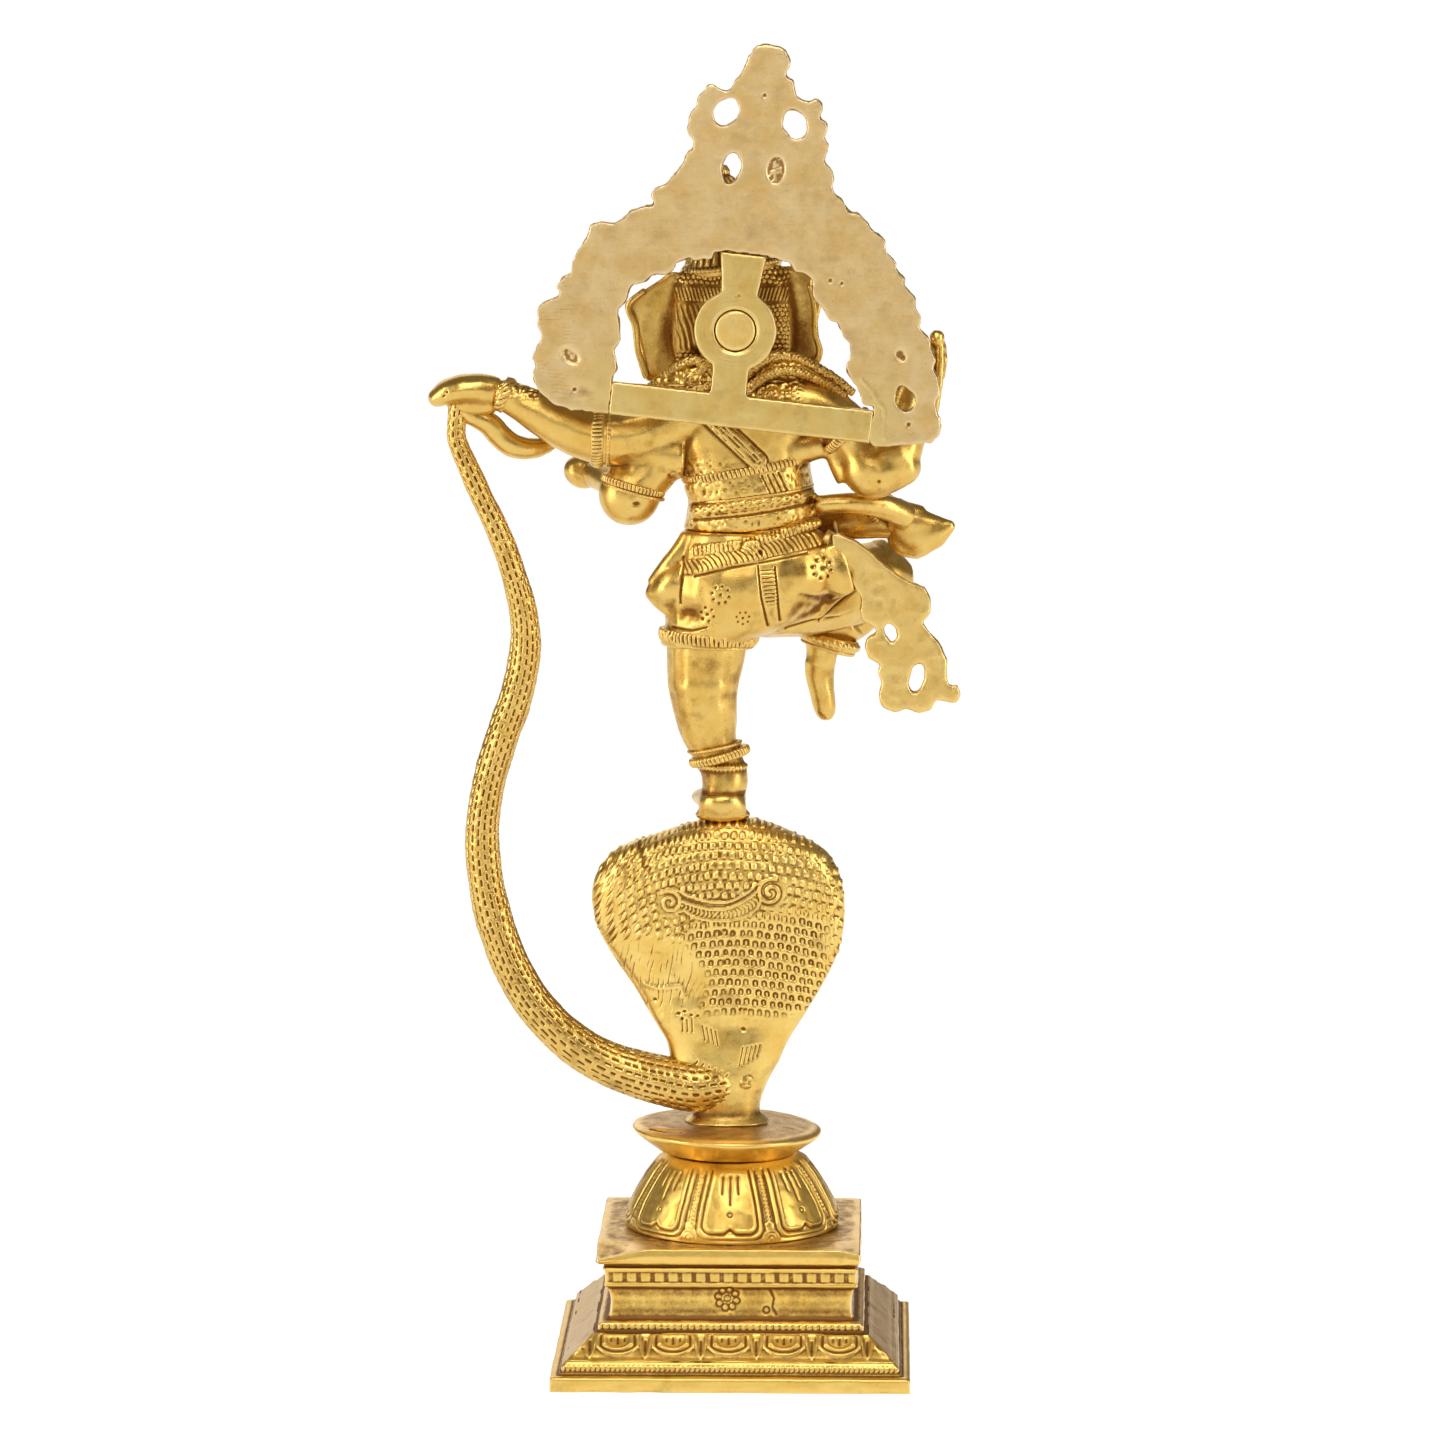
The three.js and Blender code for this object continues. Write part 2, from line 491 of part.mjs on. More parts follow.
const SCROLL_HOLES = [
  [[-51.4, 256.6], [-53.4, 258.4], [-56, 256.2], [-56.8, 253.2], [-54.4, 251.2], [-52.4, 253.6]],
  oval(-63.2, 239.2, 2.9, 5.6, 0.22, 10),
];
piece('sash_scroll', filed, (grow) => (
  plate(SCROLL_OUTLINE, SCROLL_BACK + grow, SCROLL_THICK + 2 * grow, grow ? [] : SCROLL_HOLES)
));

// ---------- the aureole, drawn level about its peg hole and hung at its tilt ----------
const aureole = new THREE.Group();
aureole.position.set(PEG_X, 0, PEG_Z);
aureole.rotation.y = TILT;

function hang(name, material, made) {
  const mesh = new THREE.Mesh(geometryOf(largest(made)), material);
  mesh.name = name;
  aureole.add(mesh);
}

const BAR = { left: 39.6, right: -49.6, top: -21.8, foot: -32.8 };
const STRUT_TOP = 26;
function bracketShape(grow = 0) {
  const through = (outline) => plate(outline, AUREOLE_BACK + 3 * grow, BRACKET_THICK + 9 * grow);
  const box = (x0, x1, z0, z1) => {
    const [left, right, low, high] = [x0 - grow, x1 + grow, z0 - grow, z1 + grow];
    return through([[left, low], [right, low], [right, high], [left, high]]);
  };
  const bar = box(BAR.right, BAR.left, BAR.foot, BAR.top);
  const foot = box(-6.1, 6.1, BAR.top - 1, 0);
  const head = through([
    [-5.6 - grow, 9], [5.6 + grow, 9], [7.6 + grow, STRUT_TOP + grow], [-7.6 - grow, STRUT_TOP + grow],
  ]);
  const ring = through(oval(0, 0, RING_R + grow, RING_R + grow, 0, 40));
  return bar.add(foot).add(head).add(ring);
}
const pegHole = plate(oval(0, 0, RING_HOLE_R, RING_HOLE_R, 0, 40), AUREOLE_BACK + 1, BRACKET_THICK + 2);
hang('aureole_bracket', filed, bracketShape().subtract(pegHole));

const ARCH_OUTER = [
  [39.6, -32.8], [54, -32.6], [61.3, -29.6], [66.4, -22.6], [65.4, -14], [66.2, -8], [66.4, -1], [60.8, 5],
  [60.4, 11], [58.2, 20.6], [54.8, 26], [49.2, 31.6], [41.8, 32.6], [37, 36.6], [32.6, 39], [32, 45],
  [27, 49.4],
  [23.2, 55], [21, 59.2], [22.9, 65.2], [22.4, 71], [19.6, 79.4], [17.6, 81.6], [14.6, 80.4], [11.8, 80.4],
  [7.6, 87], [5.4, 93], [3.6, 96.4], [-0.4, 97], [-5.4, 95.8], [-7.6, 92], [-7.6, 87], [-10.4, 85.8],
  [-12.6, 80.6], [-18.9, 80.8], [-21, 77.6], [-20.2, 74.4], [-23.4, 70.4], [-24.4, 65], [-23.8, 60.4],
  [-27.5, 54.6], [-27.6, 50.8], [-33.6, 44.8], [-40.4, 41.6], [-45.4, 36.6], [-52, 26.2], [-59.6, 14.6],
  [-62, 8.2], [-66.4, 1.4], [-69.4, -7], [-70.8, -14], [-72.8, -22], [-72.2, -27.8], [-69.6, -30.4],
  [-49.6, -32.8],
];
const ARCH_INNER = [
  [-49.6, -21], [-44.8, -18.4], [-43.6, -14.6], [-38.8, -8], [-39.4, -0.6], [-34.2, 6.4], [-28.6, 10.8],
  [-24.4, 15.6], [-22.4, 21.4], [-16, 24.6], [-8.4, 26.4], [8.4, 26.4], [13, 24], [17, 24.2], [22, 22.4],
  [26.4, 17], [33.4, 13.8], [37.8, 8.2], [39.6, 1.8], [38.6, -6.8], [40, -12], [38.4, -21.8],
];
const ARCH_HOLES = [
  oval(11.8, 73.2, 3.6, 5.4, 0.55), oval(-12, 71.6, 3.8, 5.1, -0.5), // upper pair
  oval(7.4, 54, 3, 5.2, -0.15), // lower left; its twin is only a dimple
  oval(-59.8, -16.5, 3, 4, 0.4, 8), // right foot
];
const archOutline = [...ARCH_OUTER, ...ARCH_INNER];
hang('aureole_arch', filed, plate(archOutline, AUREOLE_BACK, AUREOLE_THICK, ARCH_HOLES)
  .subtract(bracketShape(GAP)));

// ---------- the origin: on the floor, under the middle of the whole footprint ----------
const model = new THREE.Group();
model.add(statue, aureole);
model.position.x = -FOOTPRINT_X;

export default model;
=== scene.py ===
"""Looks of a cast brass statue, built around its CAD frame.

An elephant-headed dancer stands on a cobra's hood, on a lotus and a stepped plinth, with a pierced
aureole that turns on a peg behind the head. Shapes are worked out in millimetres from the middle of
the plinth: +X is the dancer's left, +Y is the back, +Z is up.
"""
import math

import bpy
import numpy as np
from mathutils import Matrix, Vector
from mathutils.bvhtree import BVHTree
from mathutils.geometry import tessellate_polygon


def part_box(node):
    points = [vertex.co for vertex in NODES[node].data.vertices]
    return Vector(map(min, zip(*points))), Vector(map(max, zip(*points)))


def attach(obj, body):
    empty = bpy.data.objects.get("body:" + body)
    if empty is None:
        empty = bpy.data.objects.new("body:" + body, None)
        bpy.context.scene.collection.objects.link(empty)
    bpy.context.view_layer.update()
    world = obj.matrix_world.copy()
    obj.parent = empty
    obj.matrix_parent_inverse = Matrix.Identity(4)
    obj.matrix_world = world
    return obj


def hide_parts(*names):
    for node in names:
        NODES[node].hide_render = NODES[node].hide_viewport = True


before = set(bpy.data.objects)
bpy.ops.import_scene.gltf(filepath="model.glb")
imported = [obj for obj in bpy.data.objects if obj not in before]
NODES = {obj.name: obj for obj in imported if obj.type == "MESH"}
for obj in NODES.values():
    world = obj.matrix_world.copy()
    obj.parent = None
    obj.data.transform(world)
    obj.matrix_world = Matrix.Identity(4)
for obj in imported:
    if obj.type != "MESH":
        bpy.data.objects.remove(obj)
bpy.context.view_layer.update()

MM = 0.001
RNG = np.random.default_rng(11)
PLINTH_LOW, PLINTH_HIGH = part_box("plinth")
CENTRE = np.array([(PLINTH_LOW.x + PLINTH_HIGH.x) / 2, 0.0, 0.0])


def box_mm(node):
    """Lowest and highest corner of a CAD node, in mm from the middle of the plinth."""
    low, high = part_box(node)
    return (np.array(low) - CENTRE) / MM, (np.array(high) - CENTRE) / MM


def node_points(node):
    """The vertices of a CAD node, in mm from the middle of the plinth."""
    mesh = NODES[node].data
    points = np.zeros(len(mesh.vertices) * 3)
    mesh.vertices.foreach_get("co", points)
    return (points.reshape(-1, 3) - CENTRE) / MM


# ---------- numbers over points ----------
CELLS = 32  # on each side of the noise's repeating block
LATTICE = RNG.random((CELLS, CELLS, CELLS)) * 2 - 1


def lumps(points, size, shift=0.0):
    """Smooth noise from -1 to 1 whose bumps are about size mm apart."""
    q = np.asarray(points, float) / size + shift
    cell = np.floor(q).astype(int)
    t = q - cell
    t = t * t * (3 - 2 * t)
    total = 0
    for corner in np.ndindex(2, 2, 2):
        share = np.prod(np.where(corner, t, 1 - t), axis=-1)
        i, j, k = (((cell + corner) % CELLS)[..., axis] for axis in range(3))
        total = total + share * LATTICE[i, j, k]
    return total


def step(low, high, x):
    """0 below low, 1 above high, smooth between."""
    t = np.clip((x - low) / (high - low), 0, 1)
    return t * t * (3 - 2 * t)


def bell(d, width):
    """1 at d = 0, falling to nothing beyond width."""
    return np.exp(-(d / width) ** 2)


def dome(d, radius):
    """A round bead: 1 in the middle, 0 from its radius on."""
    return np.sqrt(np.clip(1 - (d / radius) ** 2, 0, None))


def fold(x, pitch):
    """Distance along x from the middle of the nearest of many strips, pitch apart."""
    return (x + pitch / 2) % pitch - pitch / 2


def turned(x, z, angle):
    """x and z turned by some radians, from z towards x."""
    c, s = math.cos(angle), math.sin(angle)
    return x * c + z * s, z * c - x * s


def circle(count):
    """Angles of points spread evenly round a circle."""
    return np.arange(count) / count * 2 * math.pi


def ring_of(cx, cz, radius, count, first):
    """(x, z) of points round a centre. first is the first one's place as a share of a step."""
    angles = [2 * math.pi * (i + first) / count for i in range(count)]
    return [(cx + radius * math.cos(a), cz + radius * math.sin(a)) for a in angles]


def distances(line):
    """How far along a line each of its points lies."""
    return np.r_[0, np.cumsum(np.linalg.norm(np.diff(line, axis=0), axis=1))]


def sampled(line, along, at):
    """The line's columns at the distances at, where along gives the distances of its points."""
    return np.stack([np.interp(at, along, column) for column in line.T], axis=1)


def smooth_line(points, count):
    """Points evenly along a smooth curve through the given ones, any number of columns."""
    p = np.asarray(points, float)
    p = np.vstack([2 * p[0] - p[1], p, 2 * p[-1] - p[-2]])
    out = []
    for i in range(1, len(p) - 2):
        t = np.linspace(0, 1, 24, endpoint=False)[:, None]
        a, b, c, d = p[i - 1:i + 3]
        out.append(0.5 * (2 * b + (c - a) * t + (2 * a - 5 * b + 4 * c - d) * t ** 2
                          + (3 * b - a - 3 * c + d) * t ** 3))
    out = np.vstack(out + [p[-2:-1]])
    along = distances(out[:, :3])
    return sampled(out, along, np.linspace(0, along[-1], count))


def near_line(x, z, line):
    """Distance to a polyline of [x, z], and how far along it the nearest point is, in mm."""
    best = np.full(np.shape(x), 1e9)
    where = np.zeros(np.shape(x))
    start = 0.0
    for (ax, az), (bx, bz) in zip(line[:-1], line[1:]):
        dx, dz = bx - ax, bz - az
        length = math.hypot(dx, dz)
        t = np.clip(((x - ax) * dx + (z - az) * dz) / length ** 2, 0, 1)
        d = np.hypot(x - ax - t * dx, z - az - t * dz)
        closer = d < best
        where = np.where(closer, start + t * length, where)
        best = np.where(closer, d, best)
        start += length
    return best, where


def flower(x, z, cx, cz, reach):
    """A punched flower: eight rings about one in the middle. Height in mm."""
    places = [(cx, cz), *ring_of(cx, cz, 0.72 * reach, 8, 0.3)]
    return sum(ring_mark(x, z, px, pz, reach * 0.3) for px, pz in places)


def ring_mark(x, z, cx, cz, radius):
    """One punched ring: a groove round a small raised dot."""
    d = np.hypot(x - cx, z - cz)
    return 0.16 * bell(d, radius * 0.5) - 0.3 * bell(d - radius * 0.85, radius * 0.34)


# ---------- meshes ----------
def smooth_points(points, edges, rounds, share=0.5):
    """Points after rounds of moving each one towards the middle of its neighbours."""
    n = len(points)
    a, b = edges[:, 0], edges[:, 1]
    count = np.bincount(a, minlength=n) + np.bincount(b, minlength=n)
    count = np.maximum(count, 1)[:, None]
    for _ in range(rounds):
        near = np.stack([np.bincount(a, points[b, k], n) + np.bincount(b, points[a, k], n)
                         for k in range(3)], axis=1)
        points = points + share * (near / count - points)
    return points


def mesh_arrays(mesh):
    """A mesh's points in mm, edges and vertex normals."""
    n = len(mesh.vertices)
    points = np.zeros(n * 3)
    mesh.vertices.foreach_get("co", points)
    edges = np.zeros(len(mesh.edges) * 2, int)
    mesh.edges.foreach_get("vertices", edges)
    normals = np.zeros(n * 3)
    mesh.vertex_normals.foreach_get("vector", normals)
    return (points.reshape(-1, 3) - CENTRE) / MM, edges.reshape(-1, 2), normals.reshape(-1, 3)


def set_points(mesh, points):
    """Moves a mesh's vertices to points in mm."""
    mesh.vertices.foreach_set("co", (points * MM + CENTRE).ravel())
    mesh.update()


def set_marks(mesh, worn, soot):
    """Stores how deep each point lies in a recess, and how worn it is, for the materials. soot adds
    patina, or takes it off where it is negative."""
    points, edges, normals = mesh_arrays(mesh)
    fine = smooth_points(points, edges, 4)
    broad = smooth_points(fine, edges, 26)
    hollow = ((fine - points) * normals).sum(1) * 5 + ((broad - points) * normals).sum(1) * 2.0 + soot
    for name, values in (("recess", hollow), ("worn", worn)):
        if values is not None:
            layer = mesh.attributes.new(name, "FLOAT", "POINT")
            layer.data.foreach_set("value", np.asarray(values, np.float32))


def new_mesh(name, points, faces):
    """A smooth-shaded mesh from points in mm and an array of faces, turned outwards."""
    corners = points[faces]
    volume = np.einsum("ij,ij->i", corners[:, 0], np.cross(corners[:, 1], corners[:, -1])).sum()
    if faces.shape[1] == 4:
        volume += np.einsum("ij,ij->i", corners[:, 2], np.cross(corners[:, 3], corners[:, 1])).sum()
    if volume < 0:
        faces = faces[:, ::-1]
    mesh = bpy.data.meshes.new(name)
    mesh.vertices.add(len(points))
    mesh.vertices.foreach_set("co", (points * MM + CENTRE).ravel())
    mesh.loops.add(faces.size)
    mesh.loops.foreach_set("vertex_index", faces.ravel())
    mesh.polygons.add(len(faces))
    mesh.polygons.foreach_set("loop_start", np.arange(len(faces)) * faces.shape[1])
    mesh.update(calc_edges=True)
    mesh.shade_smooth()
    return mesh


def add_piece(name, mesh, material, replaces=(), body="statue"):
    """Adds a mesh as a piece that rides on a body and stands in for some CAD nodes."""
    piece = bpy.data.objects.new(name, mesh)
    bpy.context.scene.collection.objects.link(piece)
    mesh.materials.clear()
    mesh.materials.append(material)
    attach(piece, body)
    if replaces:
        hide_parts(*replaces)
    return piece


def ring_faces(rows, columns, looped):
    """Quads between rows of a ring-shaped grid."""
    i = np.arange(rows if looped else rows - 1)[:, None]
    j = np.arange(columns)[None, :]
    ii, jj = (i + 1) % rows, (j + 1) % columns
    quads = np.stack([i * columns + j, i * columns + jj, ii * columns + jj, ii * columns + j], axis=-1)
    return quads.reshape(-1, 4)


def split_quads(faces):
    """Two triangles for each quad."""
    return np.vstack([faces[:, [0, 1, 2]], faces[:, [0, 2, 3]]])


def closed(grid):
    """Points and triangles of a ring grid with a fan on each end."""
    rows, columns = grid.shape[:2]
    j = np.arange(columns)
    k = (j + 1) % columns
    last = (rows - 1) * columns
    fans = np.vstack([np.stack([np.full(columns, rows * columns), k, j], axis=1),
                      np.stack([np.full(columns, rows * columns + 1), last + j, last + k], axis=1)])
    points = np.vstack([grid.reshape(-1, 3), grid[0].mean(0), grid[-1].mean(0)])
    return points, np.vstack([split_quads(ring_faces(rows, columns, False)), fans])


def shell(name, grid, looped):
    """A closed mesh over a grid of points (rows, columns, 3), each row a ring. Unless the rows are
    looped, each end closes on one point."""
    if looped:
        return new_mesh(name, grid.reshape(-1, 3), ring_faces(*grid.shape[:2], True))
    return new_mesh(name, *closed(grid))


def marked(name, grid, looped=False, worn=None, soot=0.0):
    """A closed mesh over a ring grid, with its marks for the materials."""
    mesh = shell(name, grid, looped)
    set_marks(mesh, worn, soot)
    return mesh


def grid_normals(grid, looped=False):
    """Outward unit normals of a ring grid whose rings run anticlockwise seen from the last row."""
    across = np.roll(grid, -1, axis=1) - np.roll(grid, 1, axis=1)
    if looped:
        down = np.roll(grid, -1, axis=0) - np.roll(grid, 1, axis=0)
    else:
        down = np.gradient(grid, axis=0)
    normal = np.cross(across, down)
    return normal / np.maximum(np.linalg.norm(normal, axis=2, keepdims=True), 1e-9)


def profile_rows(points, pitch, soften):
    """A profile of corner points resampled every pitch mm, its corners softened."""
    p = np.asarray(points, float)
    along = distances(p)
    rows = sampled(p, along, np.linspace(0, along[-1], int(along[-1] / pitch)))
    for _ in range(soften):
        rows[1:-1] = (rows[1:-1] * 2 + rows[2:] + rows[:-2]) / 4
    return rows


# ---------- materials ----------
def brass(name, gold, patina, rough=0.34, worn_tone=None, strokes=None, stroke_size=(1, 1, 1),
          stroke_depth=0.0, grain=0.05, recess_low=0.0, recess_high=0.55, stain=0.7):
    """Old brass: golden metal, brown in the recesses, with cloudy tone, fine pits and file strokes."""
    material = bpy.data.materials.new(name)
    material.use_nodes = True
    nodes, links = material.node_tree.nodes, material.node_tree.links
    nodes.clear()

    def node(kind, **values):
        made = nodes.new(kind)
        for key, value in values.items():
            if key in made.inputs:
                made.inputs[key].default_value = value
            else:
                setattr(made, key, value)
        return made

    def feed(socket, value):
        if isinstance(value, float):
            socket.default_value = value
        elif isinstance(value, tuple):
            socket.default_value = (*value, 1.0)
        else:
            links.new(value, socket)

    def noise(size, detail=3.0, roughness=0.6, stretch=None):
        made = node("ShaderNodeTexNoise", Scale=1 / (size * MM), Detail=detail, Roughness=roughness)
        source = place.outputs["Object"]
        if stretch:
            spread = node("ShaderNodeMapping", Scale=stretch)
            links.new(source, spread.inputs["Vector"])
            source = spread.outputs["Vector"]
        links.new(source, made.inputs["Vector"])
        return made.outputs["Fac"]

    def between(value, low, high, to_low=0.0, to_high=1.0):
        ends = {"From Min": low, "From Max": high, "To Min": to_low, "To Max": to_high}
        made = node("ShaderNodeMapRange", **ends)
        links.new(value, made.inputs["Value"])
        return made.outputs["Result"]

    def sum_of(kind, a, b):
        made = node("ShaderNodeMath", operation=kind)
        for socket, value in zip(made.inputs, (a, b)):
            feed(socket, value)
        return made.outputs[0]

    def mix(share, a, b):
        made = node("ShaderNodeMix", data_type="RGBA")
        feed(made.inputs["Factor"], share)
        for socket, value in zip([s for s in made.inputs if s.type == "RGBA"], (a, b)):
            feed(socket, value)
        return [s for s in made.outputs if s.type == "RGBA"][0]

    place = node("ShaderNodeTexCoord")
    recess = node("ShaderNodeAttribute", attribute_name="recess").outputs["Fac"]
    cloudy = noise(9.0, 4.0)
    speckle = noise(0.9, 4.0, 0.7)
    depth = sum_of("ADD", recess, between(speckle, 0.3, 0.7, -0.12, 0.12))
    dirt = between(depth, recess_low + 0.04, recess_high)
    warm = tuple(c * f for c, f in zip(gold, (0.93, 0.84, 0.66)))
    pale = tuple(min(1.0, c * f) for c, f in zip(gold, (1.06, 1.08, 1.2)))
    tone = mix(between(cloudy, 0.36, 0.64), warm, gold)
    tone = mix(between(noise(2.2, 3.0), 0.5, 0.72, 0.0, 0.35), tone, pale)
    raised = between(recess, -0.12, -0.6, 0.0, 0.55)
    tone = mix(raised, tone, pale)
    if worn_tone:
        worn = node("ShaderNodeAttribute", attribute_name="worn").outputs["Fac"]
        tone = mix(worn, tone, worn_tone)
    dull = tuple(c * f for c, f in zip(gold, (0.46, 0.38, 0.30)))
    tone = mix(between(noise(11.0, 5.0, 0.62), 0.57, 0.74, 0.0, stain), tone, dull)
    colour = mix(dirt, tone, patina)
    pits = between(noise(1.3, 2.0), 0.70, 0.78)
    colour = mix(sum_of("MULTIPLY", pits, 0.55), colour, patina)

    shine = between(noise(3.0, 4.0), 0.3, 0.7, rough - 0.06, rough + 0.08)
    shine = sum_of("ADD", shine, sum_of("MULTIPLY", dirt, 0.22))
    relief = sum_of("MULTIPLY", noise(0.55, 3.0, 0.65), grain)
    if strokes:
        lines = noise(strokes, 2.0, 0.7, stroke_size)
        relief = sum_of("ADD", relief, sum_of("MULTIPLY", lines, stroke_depth))
        shine = sum_of("ADD", shine, between(lines, 0.3, 0.7, -0.04, 0.06))
    bump = node("ShaderNodeBump", Strength=1.0, Distance=MM)
    links.new(relief, bump.inputs["Height"])

    shader = node("ShaderNodeBsdfPrincipled", Metallic=1.0)
    links.new(colour, shader.inputs["Base Color"])
    links.new(shine, shader.inputs["Roughness"])
    links.new(bump.outputs["Normal"], shader.inputs["Normal"])
    out = node("ShaderNodeOutputMaterial")
    links.new(shader.outputs[0], out.inputs["Surface"])
    return material


TAN = (0.95, 0.70, 0.42)  # where handling has worn the plinth
CAST = brass("cast_brass", (0.72, 0.485, 0.135), (0.22, 0.088, 0.013), rough=0.29)
# Painted light: the hood is the cast brass in a paler gold, with less brown in its hollows, standing in for
# the light from above that the hood catches
HOOD_PAINTED_LIGHT = brass("hood_brass_painted_light", (0.84, 0.60, 0.18), (0.25, 0.115, 0.024), rough=0.30,
             recess_low=0.08, recess_high=0.75)
TRIM = brass("trim_brass", (0.74, 0.50, 0.145), (0.19, 0.082, 0.020), recess_high=0.42)
BASE = brass("base_brass", (0.84, 0.575, 0.15), (0.24, 0.115, 0.03), worn_tone=TAN, stain=0.5)
SASH = brass("sash_brass", (0.78, 0.565, 0.195), (0.30, 0.16, 0.05), rough=0.38, strokes=1.2,
             stroke_size=(1.0, 1.0, 0.2), stroke_depth=0.04, stain=0.4)
FILED = brass("filed_brass", (0.70, 0.52, 0.25), (0.34, 0.20, 0.08), rough=0.40, strokes=1.2,
              stroke_size=(0.12, 1.0, 1.0), stroke_depth=0.05, stain=0.3, worn_tone=(0.68, 0.50, 0.19))
BRACKET = brass("bracket_brass", (0.70, 0.52, 0.185), (0.34, 0.21, 0.06), rough=0.36, strokes=1.0,
                stroke_size=(0.2, 1.0, 1.0), stroke_depth=0.03, stain=0.4)


# ---------- plinth ----------
PLINTH_TIERS = {
    "plinth_foot": [(61.6, 0.0), (61.6, 4.7), (60.4, 5.2), (58.6, 5.3), (58.6, 5.9), (57.7, 6.2),
                    (57.7, 8.3), (56.9, 8.7), (56.4, 9.5)],
    "plinth_slope": [(56.4, 9.5), (55.4, 10.2), (54.2, 11.4), (51.8, 13.4), (49.0, 15.8), (47.4, 17.4)],
    "plinth_cap": [(47.4, 17.4), (45.6, 17.8), (45.7, 20.4), (44.2, 20.9), (42.4, 21.6), (41.5, 24.0),
                   (41.3, 27.0), (41.6, 30.0), (42.4, 32.4), (43.6, 32.8), (43.7, 33.8), (43.2, 34.2),
                   (43.2, 38.0), (43.7, 38.4), (43.7, 39.2), (42.2, 39.6), (42.2, 40.4), (44.3, 40.7),
                   (44.9, 43.2), (44.5, 46.0)],
}
PLINTH_INSIDE = {
    "plinth_foot": [(52.4, 9.5), (57.6, 5.0), (57.6, 0.0)],
    "plinth_slope": [(43.4, 17.4), (52.4, 9.5)],
    "plinth_cap": [(37.5, 42.0), (37.5, 22.0), (43.4, 17.4)],
}


def square_rings(halves, heights, columns, corner=1.0):
    """Rings round a square with rounded corners, one for each half side, starting at +X, -Y."""
    per_corner = 8
    per_side = columns // 4 - per_corner
    t = np.linspace(-1, 1, per_side, endpoint=False) + 1 / per_side
    a = (np.arange(per_corner) + 0.5) / per_corner * math.pi / 2
    rings = []
    for turn in range(4):
        h = np.asarray(halves)[:, None]
        r = np.minimum(corner, h * 0.2)
        side = np.stack([np.broadcast_to(h, (len(h), per_side)), t * (h - r)], axis=-1)
        bend = np.stack([h - r + r * np.cos(a), h - r + r * np.sin(a)], axis=-1)
        part = np.concatenate([side, bend], axis=1)
        rings.append(np.stack(turned(part[..., 0], part[..., 1], -turn * math.pi / 2), axis=-1))
    flat = np.concatenate(rings, axis=1)
    z = np.broadcast_to(np.asarray(heights)[:, None, None], (*flat.shape[:2], 1))
    return np.concatenate([flat, z], axis=2)


def foot_relief(x, z):
    """Two thin fillets with a row of fine slanting beads between them."""
    tier = step(6.0, 6.3, z) * step(8.6, 8.3, z)
    rope = np.abs(np.sin((x + (z - 7.2) * 0.35) * math.pi / 1.7))
    return tier * (0.55 * np.sqrt(rope) * dome(z - 7.25, 1.25) - 0.25)


def petal_relief(x, z):
    """Lotus petals lying down the slope: two U-shaped lines, a drop in the middle, tips between."""
    pitch = 19.0
    down = (17.2 - z) / math.sin(math.radians(42))
    u = fold(x - 0.6, pitch)
    half = 7.0
    sag = 8.6 - 3.6 * (np.abs(u) / half) ** 2.6
    outer = np.where(down < 6, np.abs(np.abs(u) - half * (1 - 0.04 * (down - 3) ** 2 / 9)), 9)
    outer = np.minimum(outer, np.where(np.abs(u) < half, np.abs(down - sag) * 0.8, 9))
    inner_half = half - 2.4
    inner_sag = 6.4 - 3.0 * (np.abs(u) / inner_half) ** 2.6
    inner = np.where(down < 4.4, np.abs(np.abs(u) - inner_half), 9)
    inner = np.minimum(inner, np.where(np.abs(u) < inner_half, np.abs(down - inner_sag) * 0.8, 9))
    inside = step(0.4, -0.4, np.abs(u) - half) * step(0.3, -0.3, down - sag)
    height = 0.45 * bell(outer, 0.55) + 0.35 * bell(inner, 0.5) + 0.25 * inside
    height -= 0.5 * bell(outer - 1.15, 0.4) * inside
    height -= 0.5 * bell(u, 0.45) * step(1.0, 2.0, down) * step(5.0, 3.6, down)
    height -= 0.25 * bell(np.abs(u) - 2.3, 0.4) * step(1.0, 2.0, down) * step(4.0, 2.8, down)
    v = fold(x - 0.6 + pitch / 2, pitch)
    tip = np.abs(np.abs(v) - 1.9 * np.sqrt(np.clip((9.6 - down) / 8, 0, 1)))
    between_petals = (1 - inside) * step(11.0, 9.6, down)
    height += between_petals * (0.35 * bell(tip, 0.45) - 0.15)
    height -= between_petals * 0.35 * bell(v, 0.4) * step(2, 3, down) * step(7.6, 6.4, down)
    return height * step(-0.3, 0.3, down) * step(11.4, 10.6, down)


def cap_relief(x, z):
    """Small beads, a punched flower on the hollow neck, and a band of square bumps."""
    beads = dome(np.hypot(fold(x, 2.25) * 0.95, z - 19.2), 1.0)
    dent = 0.32 * bell(np.hypot(fold(x, 2.25), z - 19.2), 0.34)
    height = step(17.9, 18.2, z) * step(20.5, 20.2, z) * (0.6 * beads - 0.25 - dent)
    blocks = step(1.9, 1.0, np.abs(fold(x - 0.8, 4.75))) * step(1.75, 1.2, np.abs(z - 36.1))
    height += step(34.1, 34.4, z) * step(38.1, 37.8, z) * (0.26 * blocks - 0.06)
    return height


